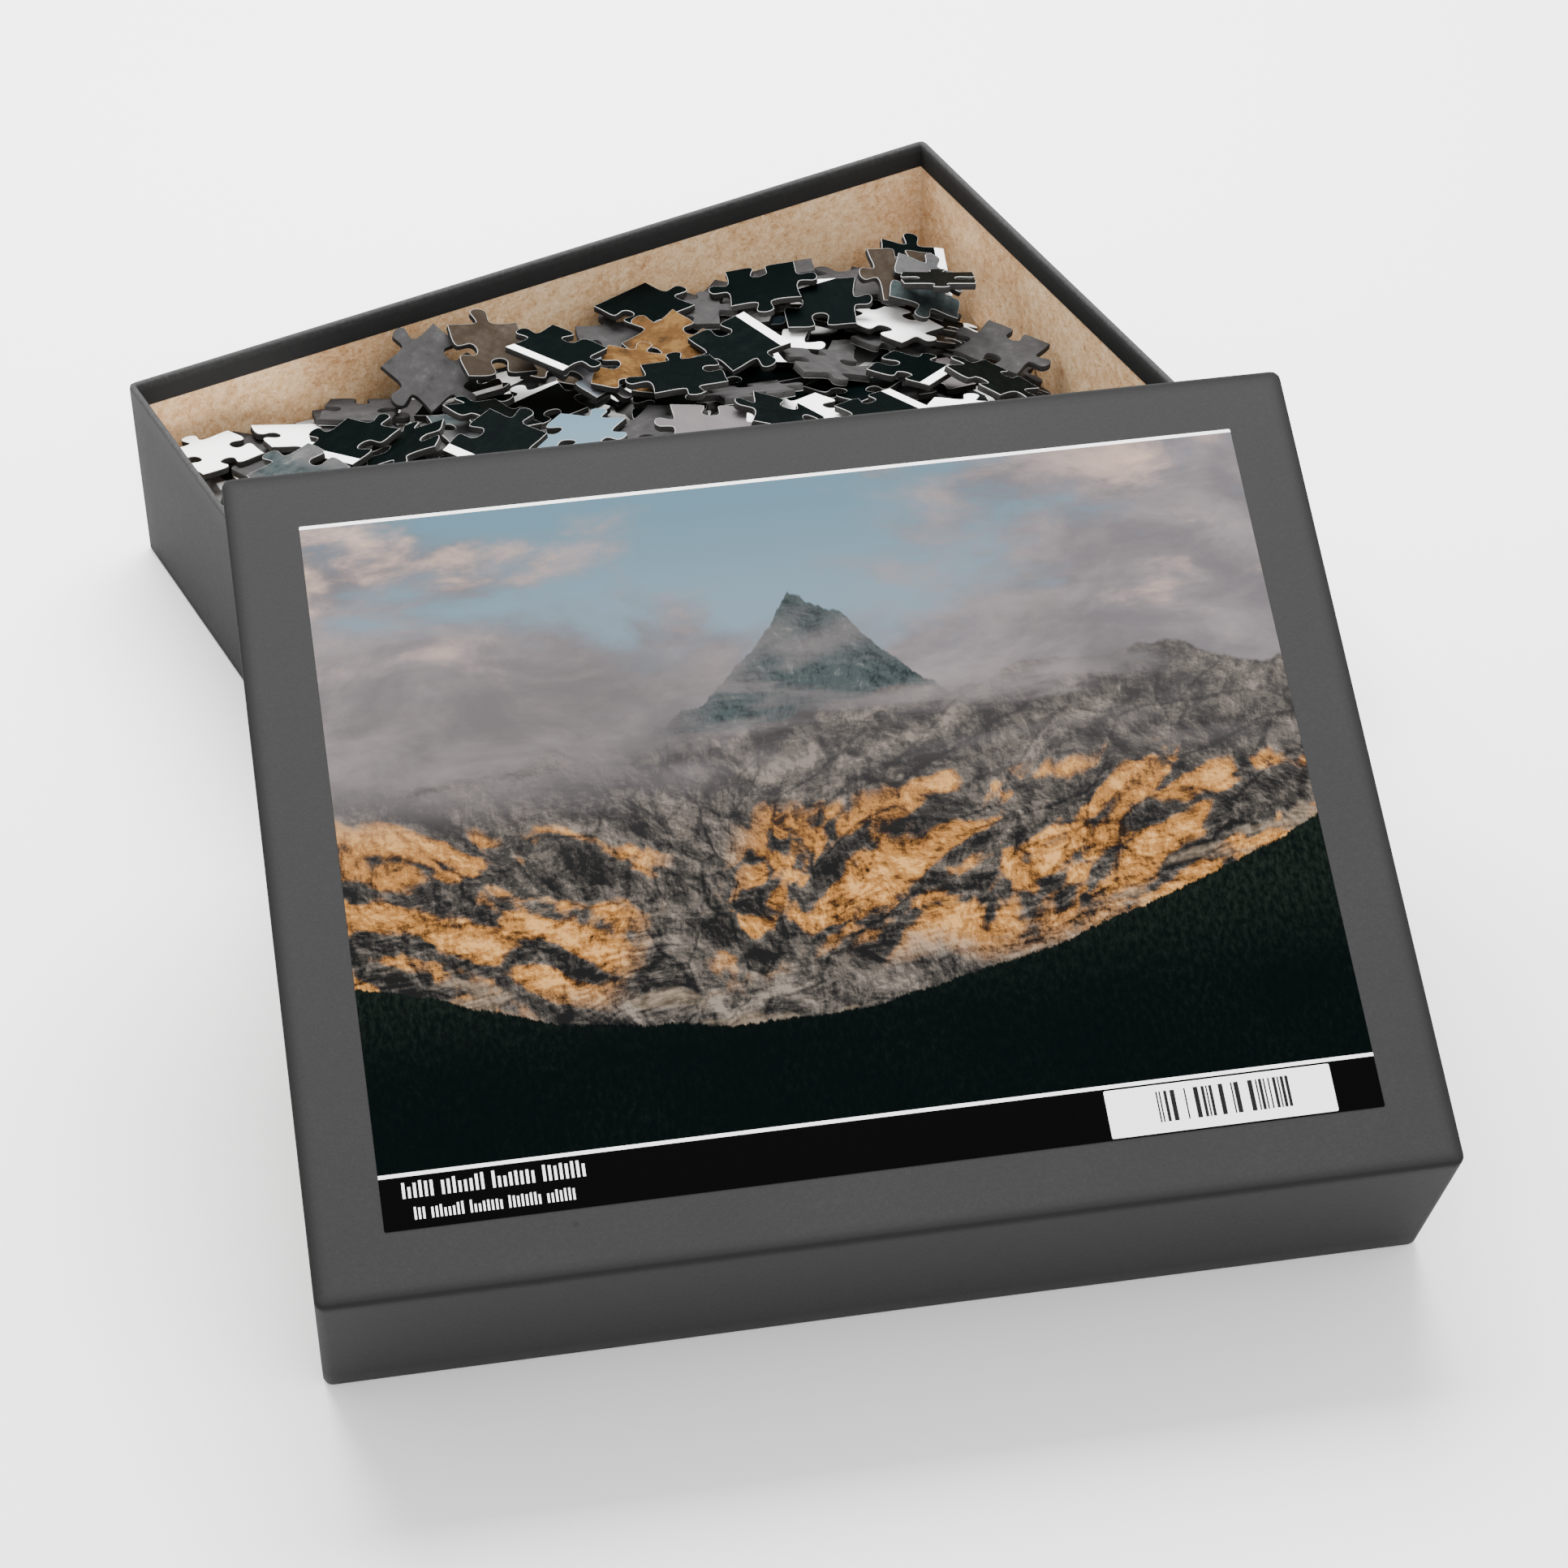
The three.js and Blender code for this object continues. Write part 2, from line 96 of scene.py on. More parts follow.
# ---- shader building
class Graph:
    """Short names for the nodes of one tree."""

    def __init__(self, tree):
        self.tree, self.nodes, self.links = tree, tree.nodes, tree.links

    def put(self, socket, value):
        if value is None:
            return
        if hasattr(value, "links"):
            self.links.new(value, socket)
        elif hasattr(socket.default_value, "__len__") and hasattr(value, "__len__"):
            value = tuple(value)
            socket.default_value = value + (1.0,) * (len(socket.default_value) - len(value))
        elif hasattr(socket.default_value, "__len__"):
            socket.default_value = (value,) * len(socket.default_value)
        else:
            socket.default_value = value

    def math(self, op, a, b=None, c=None, clamp=False):
        n = self.nodes.new("ShaderNodeMath")
        n.operation, n.use_clamp = op, clamp
        for i, v in enumerate((a, b, c)):
            self.put(n.inputs[i], v)
        return n.outputs[0]

    def add(self, a, b): return self.math("ADD", a, b)
    def sub(self, a, b): return self.math("SUBTRACT", a, b)
    def mul(self, a, b): return self.math("MULTIPLY", a, b)
    def both(self, a, b): return self.math("MULTIPLY", a, b, clamp=True)
    def either(self, a, b): return self.math("MAXIMUM", a, b)

    def within(self, x, y, x0, x1, y0, y1):
        return self.both(self.both(self.math("GREATER_THAN", x, x0), self.math("LESS_THAN", x, x1)),
                         self.both(self.math("GREATER_THAN", y, y0), self.math("LESS_THAN", y, y1)))

    def step(self, x, low, high):
        n = self.nodes.new("ShaderNodeMapRange")
        n.interpolation_type = "SMOOTHSTEP"
        for name, v in (("Value", x), ("From Min", low), ("From Max", high)):
            self.put(n.inputs[name], v)
        return n.outputs[0]

    def remap(self, x, low, high, to_low=0.0, to_high=1.0):
        n = self.nodes.new("ShaderNodeMapRange")
        for name, v in (("Value", x), ("From Min", low), ("From Max", high), ("To Min", to_low),
                        ("To Max", to_high)):
            self.put(n.inputs[name], v)
        return n.outputs[0]

    def mix(self, fac, a, b, mode="MIX"):
        n = self.nodes.new("ShaderNodeMix")
        n.data_type, n.blend_type = "RGBA", mode
        for name, v in (("Factor", fac), ("A", a), ("B", b)):
            wanted = "VALUE" if name == "Factor" else "RGBA"
            self.put(next(s for s in n.inputs if s.name == name and s.type == wanted), v)
        return next(s for s in n.outputs if s.type == "RGBA")

    def ramp(self, x, stops, smooth=True):
        n = self.nodes.new("ShaderNodeValToRGB")
        n.color_ramp.interpolation = "EASE" if smooth else "LINEAR"
        while len(n.color_ramp.elements) < len(stops):
            n.color_ramp.elements.new(0.5)
        for e, (at, colour) in zip(n.color_ramp.elements, stops):
            e.position, e.color = at, (*colour, 1)
        self.put(n.inputs[0], x)
        return n.outputs[0]

    def noise(self, vec, scale, detail=4.0, rough=0.5, kind="FBM", lac=2.0, warp=0.0, dims="3D",
              colour=False, w=None):
        n = self.nodes.new("ShaderNodeTexNoise")
        n.noise_dimensions, n.noise_type = dims, kind
        n.normalize = kind == "FBM"
        if dims != "1D":
            self.put(n.inputs["Vector"], vec)
        if w is not None:
            self.put(n.inputs["W"], w)
        for name, v in (("Scale", scale), ("Detail", detail), ("Roughness", rough), ("Lacunarity", lac),
                        ("Distortion", warp)):
            if name in n.inputs:
                self.put(n.inputs[name], v)
        return n.outputs["Color" if colour else 0]

    def voronoi(self, vec, scale, feature="F1", output=0, randomness=1.0):
        n = self.nodes.new("ShaderNodeTexVoronoi")
        n.feature = feature
        self.put(n.inputs["Vector"], vec)
        self.put(n.inputs["Scale"], scale)
        self.put(n.inputs["Randomness"], randomness)
        return n.outputs[output]

    def white(self, x):
        n = self.nodes.new("ShaderNodeTexWhiteNoise")
        n.noise_dimensions = "1D"
        self.put(n.inputs["W"], x)
        return n.outputs[0]

    def split(self, vec):
        n = self.nodes.new("ShaderNodeSeparateXYZ")
        self.put(n.inputs[0], vec)
        return n.outputs[0], n.outputs[1], n.outputs[2]

    def xyz(self, x=0.0, y=0.0, z=0.0):
        n = self.nodes.new("ShaderNodeCombineXYZ")
        for i, v in enumerate((x, y, z)):
            self.put(n.inputs[i], v)
        return n.outputs[0]

    def vec(self, op, a, b=None, scale=None):
        n = self.nodes.new("ShaderNodeVectorMath")
        n.operation = op
        self.put(n.inputs[0], a)
        if b is not None:
            self.put(n.inputs[1], b)
        if scale is not None:
            self.put(n.inputs["Scale"], scale)
        return n.outputs[0]

    def object_coords(self):
        return self.nodes.new("ShaderNodeTexCoord").outputs["Object"]

    def uv(self, name):
        n = self.nodes.new("ShaderNodeUVMap")
        n.uv_map = name
        return n.outputs[0]

    def attribute(self, name, output="Fac"):
        n = self.nodes.new("ShaderNodeAttribute")
        n.attribute_name = name
        return n.outputs[output]

    def bump(self, height, strength, distance, after=None):
        n = self.nodes.new("ShaderNodeBump")
        self.put(n.inputs["Height"], height)
        self.put(n.inputs["Strength"], strength)
        self.put(n.inputs["Distance"], distance)
        if after is not None:
            self.put(n.inputs["Normal"], after)
        return n.outputs[0]


def material(name, build, roughness=0.7, specular=0.5, sheen=0.0, coat=0.0, coat_roughness=0.3):
    m = bpy.data.materials.new(name)
    m.use_nodes = True
    g = Graph(m.node_tree)
    shader = next(n for n in g.nodes if n.type == "BSDF_PRINCIPLED")
    shader.inputs["Roughness"].default_value = roughness
    shader.inputs["Specular IOR Level"].default_value = specular
    shader.inputs["Sheen Weight"].default_value = sheen
    shader.inputs["Coat Weight"].default_value = coat
    shader.inputs["Coat Roughness"].default_value = coat_roughness
    for socket, value in build(g).items():
        g.put(shader.inputs[socket], value)
    return m


def rgb(r, g, b):
    """sRGB 0-255 to linear."""
    return tuple((c / 255 / 12.92) if c <= 10 else ((c / 255 + 0.055) / 1.055) ** 2.4 for c in (r, g, b))


def grey(v):
    return rgb(v, v, v)


# ---- the printed picture: mountains at evening
def landscape_group():
    """Node group: a point of the print, X 0-1.25 across and Y 0-1 up, to its colour."""
    tree = bpy.data.node_groups.new("landscape_print", "ShaderNodeTree")
    tree.interface.new_socket("Vector", in_out="INPUT", socket_type="NodeSocketVector")
    tree.interface.new_socket("Color", in_out="OUTPUT", socket_type="NodeSocketColor")
    g = Graph(tree)
    entry, leave = g.nodes.new("NodeGroupInput"), g.nodes.new("NodeGroupOutput")
    p = entry.outputs[0]
    x, y, _ = g.split(p)

    def line(seed, scale, detail, rough=0.5):
        return g.sub(g.noise(g.xyz(x, seed, 0.0), scale, detail, rough), 0.5)

    # sky with banks of evening cloud
    sky = g.ramp(y, [(0.55, rgb(150, 152, 156)), (0.75, rgb(120, 142, 155)), (1.0, rgb(97, 127, 143))])
    stretch = g.xyz(g.mul(x, 1.0), g.mul(y, 1.7), 3.7)
    billow = g.noise(stretch, 2.3, 9, 0.56, warp=0.35)
    fine = g.noise(g.vec("ADD", stretch, (5.2, 1.3, 0.4)), 6.5, 8, 0.6, warp=0.3)
    bank = g.add(g.mul(g.sub(billow, 0.5), 1.7), g.mul(g.sub(fine, 0.5), 0.4))
    lean = g.add(g.mul(g.math("ABSOLUTE", g.sub(x, 0.45)), 0.5), g.mul(g.sub(0.87, y), 1.3))
    cover = g.step(g.add(bank, lean), 0.0, 0.3)
    cloud = g.mix(g.step(fine, 0.35, 0.72), rgb(108, 103, 106), rgb(141, 132, 134))
    glow = g.both(g.step(g.add(billow, g.mul(fine, 0.45)), 0.76, 0.95), g.step(y, 0.6, 0.75))
    side = g.either(g.step(x, 0.42, 0.05), g.step(x, 0.95, 1.2))
    cloud = g.mix(g.mul(glow, g.add(0.2, g.mul(side, 0.8))), cloud, rgb(217, 183, 164))
    colour = g.mix(cover, sky, cloud)

    # rock: buttresses run down to a gully left of the middle; each scale of relief is shaded by its own slope
    warp = g.noise(p, 3.4, 4, 0.55, colour=True)
    q = g.vec("ADD", p, g.vec("SCALE", g.vec("SUBTRACT", warp, (0.5, 0.5, 0.5)), scale=0.11))
    qx, qy, _ = g.split(q)
    right_side = g.step(qx, 0.3, 0.64)
    out_x = g.math("SQRT", g.add(g.math("POWER", g.sub(qx, 0.47), 2.0), 0.0012))
    along = g.add(g.mul(out_x, 0.82), g.mul(qy, 0.57))
    across = g.sub(g.mul(qy, 0.82), g.mul(out_x, 0.57))
    spine = g.xyz(g.mul(along, 0.42), across, g.mul(right_side, 0.3))

    def slope(vec, scale, detail, rough, toward, gain, kind="FBM"):
        here = g.noise(vec, scale, detail, rough)
        there = g.noise(g.vec("ADD", vec, toward), scale, detail, rough)
        if kind == "RIDGE":
            here, there = (g.math("ABSOLUTE", g.sub(v, 0.5)) for v in (there, here))
        return g.mul(g.sub(here, there), gain)

    spines = slope(spine, 7.5, 3, 0.5, (0.01, 0.022, 0.0), 4.2, "RIDGE")
    crags = slope(q, 9, 5, 0.6, (0.013, 0.009, 0.0), 2.3, "RIDGE")
    stones = slope(g.vec("MULTIPLY", q, (1, 0.75, 1)), 34, 6, 0.66, (0.0035, 0.003, 0.0), 1.9, "RIDGE")
    stones2 = slope(q, 95, 5, 0.7, (0.0014, 0.0012, 0.0), 1.1)
    bed_y = g.add(y, g.add(g.mul(x, -0.1), g.mul(g.noise(q, 4, 4, 0.55), 0.11)))
    beds = slope(g.xyz(g.mul(x, 1.4), g.mul(bed_y, 10.0), 1.0), 5.5, 6, 0.7, (0.0, 0.05, 0.0), 1.5)
    in_beds = g.both(g.step(y, 0.47, 0.3), g.step(g.noise(p, 3.1, 3, 0.5), 0.34, 0.56))
    relief = g.add(g.add(g.mul(spines, 0.75), crags), g.add(stones, stones2))
    relief = g.add(relief, g.mul(beds, in_beds))
    facet, _, _ = g.split(g.voronoi(g.vec("MULTIPLY", spine, (1.6, 1.0, 1.0)), 26, output=1))
    chip, _, _ = g.split(g.voronoi(q, 74, output=1))
    relief = g.add(relief, g.add(g.mul(g.sub(facet, 0.5), 0.17), g.mul(g.sub(chip, 0.5), 0.13)))
    crack = g.voronoi(g.vec("MULTIPLY", spine, (1.3, 1.0, 1.0)), 15, feature="DISTANCE_TO_EDGE")
    relief = g.sub(relief, g.mul(g.step(crack, 0.06, 0.0), 0.2))
    tone = g.add(0.46, g.add(relief, g.mul(g.sub(g.noise(p, 2.7, 4, 0.6), 0.5), 0.45)))
    cold = g.ramp(tone, [(0.05, rgb(27, 27, 27)), (0.32, rgb(58, 55, 52)), (0.55, rgb(92, 86, 80)),
                         (0.95, rgb(141, 130, 119))])
    warm = g.ramp(tone, [(0.1, rgb(44, 29, 18)), (0.34, rgb(110, 74, 38)), (0.56, rgb(172, 117, 60)),
                         (0.98, rgb(230, 172, 102))])
    sun_line = g.add(0.49, g.add(g.mul(line(2.0, 3.2, 5, 0.6), 0.36), g.mul(spines, 0.05)))
    shade_line = g.add(g.add(0.22, g.mul(line(9.0, 2.6, 4), 0.3)), g.mul(crags, 0.05))
    lit = g.both(g.step(g.sub(sun_line, y), -0.005, 0.02), g.step(g.sub(y, shade_line), -0.03, 0.05))
    gully = g.step(g.math("ABSOLUTE", g.sub(x, g.add(0.43, g.mul(g.sub(y, 0.35), 0.35)))), 0.02, 0.09)
    facing = g.add(g.mul(spines, 1.0),
                   g.add(g.mul(crags, 0.55), g.mul(g.sub(g.noise(p, 3.3, 4, 0.6), 0.5), 1.6)))
    sunlit = g.both(g.both(lit, gully), g.step(facing, -0.1, 0.12))
    rock = g.mix(sunlit, cold, warm)
    haze = g.mul(g.step(y, 0.36, 0.68), 0.4)
    rock = g.mix(haze, rock, rgb(92, 88, 88))

    # the high peak stands bluer behind the range
    peak_line = g.add(g.sub(0.79, g.mul(g.math("POWER", g.math("ABSOLUTE", g.sub(x, 0.62)), 0.9), 0.72)),
                      g.add(g.mul(line(4.2, 5.0, 7, 0.52), 0.3),
                            g.mul(g.step(g.math("ABSOLUTE", g.sub(x, 0.62)), 0.07, 0.0), 0.02)))
    far_rock = g.ramp(g.add(0.42, g.add(g.mul(crags, 0.8), g.add(stones, g.mul(stones2, 0.7)))),
                      [(0.1, rgb(38, 47, 49)), (0.5, rgb(68, 77, 78)), (0.95, rgb(117, 118, 116))])
    colour = g.mix(g.step(g.sub(peak_line, y), 0.0, 0.005), colour, far_rock)
    range_line = g.add(0.595, g.add(g.mul(line(7.7, 2.6, 8, 0.5), 0.3), g.mul(g.step(x, 0.2, 0.75), 0.05)))
    colour = g.mix(g.step(g.sub(range_line, y), 0.0, 0.007), colour, rock)

    # mist hangs along the upper edge of the range
    mist = g.noise(g.xyz(g.mul(x, 0.8), g.mul(y, 2.2), 8.0), 3.4, 8, 0.55, warp=0.5)
    band = g.both(g.step(y, 0.47, 0.6), g.step(y, 0.86, 0.66))
    amount = g.both(g.step(g.add(mist, g.mul(g.step(x, 0.8, 0.1), 0.17)), 0.46, 0.66), band)
    colour = g.mix(g.mul(amount, 0.95), colour,
                   g.mix(g.step(fine, 0.3, 0.8), rgb(102, 97, 98), rgb(139, 130, 130)))

    # scree fans, then the dark forest at the foot
    foot = g.add(g.add(0.15, g.mul(g.math("POWER", g.math("ABSOLUTE", g.sub(x, 0.52)), 1.6), 0.36)),
                 g.mul(line(3.0, 3.0, 4), 0.09))
    fans = g.step(g.noise(g.xyz(g.mul(x, 1.5), g.mul(y, 4.0), 5.0), 3.2, 4, 0.55), 0.52, 0.6)
    scree = g.both(g.step(g.sub(g.add(foot, g.add(0.045, g.mul(line(1.0, 7.0, 4), 0.1))), y), 0.0, 0.012),
                   fans)
    scree_look = g.ramp(g.add(0.5, g.add(stones, g.mul(beds, 0.6))),
                        [(0.2, rgb(84, 74, 63)), (0.8, rgb(158, 141, 122))])
    colour = g.mix(g.mul(scree, 0.85), colour, scree_look)
    tree_tops = g.mul(g.sub(g.noise(g.xyz(x, g.mul(y, 0.2), 0.0), 150, 3, 0.75), 0.5), 0.017)
    trees = g.step(g.sub(g.add(foot, tree_tops), y), -0.001, 0.003)
    needles = g.noise(g.vec("MULTIPLY", p, (1, 0.45, 1)), 150, 4, 0.7)
    forest = g.mix(g.both(g.step(needles, 0.42, 0.85), g.step(g.noise(p, 5, 4, 0.6), 0.3, 0.75)),
                   rgb(1, 8, 8), rgb(19, 30, 27))
    forest = g.mix(g.step(y, 0.12, 0.3), forest,
                   g.mix(g.step(needles, 0.35, 0.75), rgb(4, 12, 11), rgb(31, 40, 33)))
    g.put(leave.inputs[0], g.mix(trees, colour, forest))
    return tree


PICTURE = landscape_group()
INK = 0.5                                          # how dark the print lies on its paper


def picture(g, vector):
    n = g.nodes.new("ShaderNodeGroup")
    n.node_tree = PICTURE
    g.put(n.inputs[0], vector)
    return g.mix(1.0, n.outputs[0], (INK, INK, INK), "MULTIPLY")


# ---- materials
def wrap_paper(g):
    c = g.object_coords()
    cloudy = g.noise(c, 22, 4, 0.6)
    fibre = g.noise(c, 900, 5, 0.65, warp=0.6)
    tooth = g.noise(c, 2600, 3, 0.6)
    tone = g.add(g.mul(g.sub(cloudy, 0.5), 0.22),
                 g.add(g.mul(g.sub(fibre, 0.5), 0.42), g.mul(g.sub(tooth, 0.5), 0.3)))
    base = g.ramp(g.add(0.5, tone), [(0.0, grey(28)), (0.5, grey(42.5)), (1.0, grey(59))], smooth=False)
    speck = g.voronoi(c, 95, output=0)
    rare = g.math("GREATER_THAN", g.noise(c, 60, 1, 0.5), 0.64)
    dark = g.both(g.step(speck, 0.1, 0.05), rare)
    base = g.mix(g.mul(dark, 0.6), base, grey(34))
    fold = g.attribute("fold")
    edge_tone, painted_fold_shade = g.either(fold, 0.0), g.either(g.mul(fold, -1.0), 0.0)
    # painted shade: the wrap goes darker along the fold between panel and wall, and on the panel beside it
    base = g.mix(painted_fold_shade, base, grey(20))
    # paler rims: worn paper together with a painted highlight on the rounded edges
    base = g.mix(g.mul(edge_tone, g.remap(fibre, 0.3, 0.7, 0.1, 0.45)), base, grey(92))
    rough = g.remap(g.add(fibre, g.mul(cloudy, 0.4)), 0.4, 1.0, 0.62, 0.86)
    height = g.add(g.mul(fibre, 0.7), g.mul(tooth, 0.5))
    return {"Base Color": base, "Roughness": rough, "Normal": g.bump(height, 0.35, 0.0002)}


def kraft_board(g):
    """Brown kraft liner: cloudy pulp, and short crossing fibres, some dark and some pale."""
    c = g.object_coords()
    cloudy = g.noise(c, 34, 5, 0.62)
    mottle = g.noise(c, 330, 4, 0.6, warp=0.8)
    grain = g.noise(c, 1500, 4, 0.7)
    drift = g.vec("SUBTRACT", g.noise(c, 150, 3, 0.5, colour=True), (0.5, 0.5, 0.5))
    bent = g.vec("ADD", c, g.vec("SCALE", drift, scale=0.007))

    def fibres(stretch, scale, shift, width):
        at = g.vec("ADD", g.vec("MULTIPLY", bent, stretch), shift)
        line = g.math("ABSOLUTE", g.sub(g.noise(at, scale, 2, 0.5), 0.5))
        return g.mul(g.step(line, width, 0.0),
                     g.step(g.noise(g.vec("ADD", c, shift), 420, 2, 0.5), 0.42, 0.62))

    dark = g.either(fibres((1.0, 1.0, 2.2), 300, (3, 1, 2), 0.035),
                    fibres((2.1, 1.8, 0.9), 260, (1, 5, 2), 0.03))
    pale = g.either(fibres((1.6, 1.3, 1.0), 280, (7, 2, 4), 0.035),
                    fibres((0.9, 0.9, 2.6), 240, (2, 8, 9), 0.03))
    tone = g.add(g.mul(g.sub(cloudy, 0.5), 0.8),
                 g.add(g.mul(g.sub(mottle, 0.5), 1.1), g.mul(g.sub(grain, 0.5), 0.6)))
    tone = g.add(tone, g.sub(g.mul(pale, 0.22), g.mul(dark, 0.3)))
    base = g.ramp(g.add(0.5, tone), [(0.0, rgb(170, 118, 76)), (0.4, rgb(214, 172, 128)),
                                     (0.65, rgb(232, 198, 157)), (1.0, rgb(248, 224, 188))],
                  smooth=False)
    fleck = g.both(g.step(g.voronoi(bent, 160), 0.16, 0.05),
                   g.math("GREATER_THAN", g.noise(c, 130, 1, 0.5), 0.62))
    base = g.mix(g.mul(fleck, 0.45), base, rgb(126, 84, 52))
    height = g.add(g.mul(mottle, 0.6), g.add(g.mul(grain, 0.6), g.mul(pale, 0.5)))
    return {"Base Color": base, "Normal": g.bump(height, 0.3, 0.00015),
            "Roughness": g.remap(cloudy, 0.3, 0.7, 0.86, 0.97)}


def tape_paper(g):
    c = g.object_coords()
    n = g.noise(c, 500, 4, 0.6)
    return {"Base Color": g.ramp(n, [(0.3, rgb(150, 112, 76)), (0.7, rgb(186, 148, 108))]),
            "Normal": g.bump(n, 0.2, 0.0001)}


def label_paper(g):
    """The lid's label in its own millimetres: picture, white rules, and a black foot with greeked lines."""
    u = g.uv("print")
    x, y, _ = g.split(u)                      # metres from the lid's front left corner
    w = (LABEL[1] - LABEL[0]) * MM
    foot_top, rule = 28.0 * MM, 0.9 * MM
    pic_low, pic_high = foot_top + rule, 192.1 * MM
    px = g.mul(g.sub(x, LABEL[0] * MM), 1.25 / w)
    py = g.mul(g.sub(y, pic_low), 1 / (pic_high - pic_low))
    colour = picture(g, g.xyz(px, py, 0.0))
    white = rgb(240, 240, 240)
    above_foot = g.math("GREATER_THAN", y, foot_top)
    in_rule = g.either(g.math("COMPARE", y, foot_top + rule / 2, rule / 2),
                       g.math("GREATER_THAN", y, pic_high))
    colour = g.mix(in_rule, g.mix(above_foot, rgb(3, 3, 3), colour), white)

    # greeked lines: rows of plain upright strokes grouped in words, standing for two lines of type
    def greek(x0, x1, y0, y1, stroke, seed):
        k = g.math("FLOOR", g.mul(g.sub(x, x0 * MM), 1 / (stroke * MM)))
        inside = g.within(x, y, x0 * MM, x1 * MM, y0 * MM, y1 * MM)
        gap = g.math("LESS_THAN", g.math("MODULO", g.add(k, seed), 9), 7.5)
        thin = g.math("LESS_THAN", g.math("FRACT", g.mul(g.sub(x, x0 * MM), 1 / (stroke * MM))), 0.52)
        tall = g.add(y0 * MM, g.mul(g.remap(g.white(g.add(k, seed + 0.5)), 0, 1, 0.62, 1.0), (y1 - y0) * MM))
        return g.both(g.both(inside, gap), g.both(thin, g.math("LESS_THAN", y, tall)))

    lines = g.either(greek(21.9, 63.0, 22.9, 26.9, 1.25, 2.0), greek(24.0, 60.0, 17.8, 20.8, 0.95, 5.0))
    colour = g.mix(lines, colour, white)
    c = g.object_coords()
    tooth = g.noise(c, 1400, 4, 0.6)
    return {"Base Color": colour, "Roughness": g.remap(tooth, 0.3, 0.7, 0.42, 0.56),
            "Normal": g.bump(tooth, 0.1, 0.00006)}


def sticker_paper(g):
    x, y, _ = g.split(g.uv("print"))
    x0, x1, y0, y1 = (v * MM for v in (191.8, 223.0, 18.5, 25.9))
    k = g.math("FLOOR", g.mul(g.sub(x, x0), 1 / (0.36 * MM)))
    bar = g.math("GREATER_THAN", g.white(g.add(k, 17.3)), 0.47)
    inside = g.within(x, y, x0, x1, y0, y1)
    tooth = g.noise(g.object_coords(), 1200, 3, 0.6)
    paper = g.mix(g.mul(tooth, 0.25), rgb(243, 243, 243), rgb(226, 226, 226))
    return {"Base Color": g.mix(g.both(bar, inside), paper, rgb(12, 12, 12)),
            "Roughness": g.remap(tooth, 0.3, 0.7, 0.42, 0.6), "Normal": g.bump(tooth, 0.1, 0.00005)}


def piece_print(g):
    """Printed face: the part of the picture that the piece was cut from, white beyond the picture's edge."""
    x, y, _ = g.split(g.uv("print"))
    colour = picture(g, g.xyz(x, y, 0.0))
    margin = g.either(g.either(g.math("LESS_THAN", x, 0.0), g.math("GREATER_THAN", x, 1.25)),
                      g.either(g.math("LESS_THAN", y, 0.0), g.math("GREATER_THAN", y, 1.0)))
    c = g.object_coords()
    tooth = g.noise(c, 1300, 4, 0.6)
    white = g.mix(g.mul(tooth, 0.3), rgb(246, 246, 245), rgb(228, 228, 227))
    colour = g.mix(g.attribute("dusk"), colour, rgb(38, 29, 17))
    colour = g.mix(margin, colour, white)
    rim = g.attribute("rim")
    colour = g.mix(g.mul(rim, 0.8), colour, rgb(205, 205, 202))
    return {"Base Color": colour, "Roughness": g.remap(tooth, 0.3, 0.7, 0.4, 0.58),
            "Normal": g.bump(tooth, 0.12, 0.00008)}


def piece_back(g):
    c = g.object_coords()
    cloudy = g.noise(c, 240, 5, 0.62)
    grain = g.noise(c, 2300, 4, 0.7)
    base = g.ramp(g.add(g.mul(cloudy, 0.75), g.mul(grain, 0.25)),
                  [(0.25, rgb(31, 30, 30)), (0.5, rgb(49, 48, 48)), (0.78, rgb(70, 69, 69))])
    return {"Base Color": base, "Roughness": g.remap(grain, 0.3, 0.7, 0.8, 0.95),
            "Normal": g.bump(g.add(cloudy, grain), 0.25, 0.00012)}


def piece_edge(g):
    c = g.object_coords()
    layers = g.noise(g.vec("MULTIPLY", c, (0.6, 0.6, 5.0)), 420, 4, 0.65)
    grain = g.noise(c, 2600, 3, 0.7)
    base = g.ramp(g.add(g.mul(layers, 0.6), g.mul(grain, 0.4)),
                  [(0.3, rgb(27, 27, 26)), (0.55, rgb(50, 49, 48)), (0.8, rgb(84, 82, 80))])
    return {"Base Color": base, "Roughness": 0.93, "Normal": g.bump(grain, 0.35, 0.00015)}


def heap_depth(g):
    """What shows far down between the loose pieces: patches of print, backs and white margins."""
    c = g.object_coords()
    patch = g.split(g.voronoi(g.vec("MULTIPLY", c, (1.0, 1.0, 0.5)), 130, output=1))[0]
    tooth = g.noise(c, 900, 4, 0.6)
    colour = g.mix(g.math("GREATER_THAN", patch, 0.26), rgb(12, 16, 16), rgb(80, 79, 78))
    colour = g.mix(g.math("GREATER_THAN", patch, 0.76), colour, rgb(200, 200, 198))
    return {"Base Color": g.mix(g.mul(tooth, 0.4), colour, rgb(40, 40, 40)), "Roughness": 0.9}


MATS = {
    "depth": material("heap_depth", heap_depth, specular=0.05),
    "wrap": material("wrap_paper", wrap_paper, specular=0.08),
    "kraft": material("kraft_board", kraft_board, roughness=0.92, specular=0.08),
    "tape": material("gummed_tape", tape_paper, roughness=0.85, specular=0.2),
    "label": material("label_print", label_paper, specular=0.012),
    "sticker": material("sticker_print", sticker_paper, specular=0.1),
    "print": material("piece_print", piece_print, specular=0.012),
    "back": material("piece_back", piece_back, specular=0.08),
    "edge": material("piece_edge", piece_edge, roughness=0.93, specular=0.15),
}


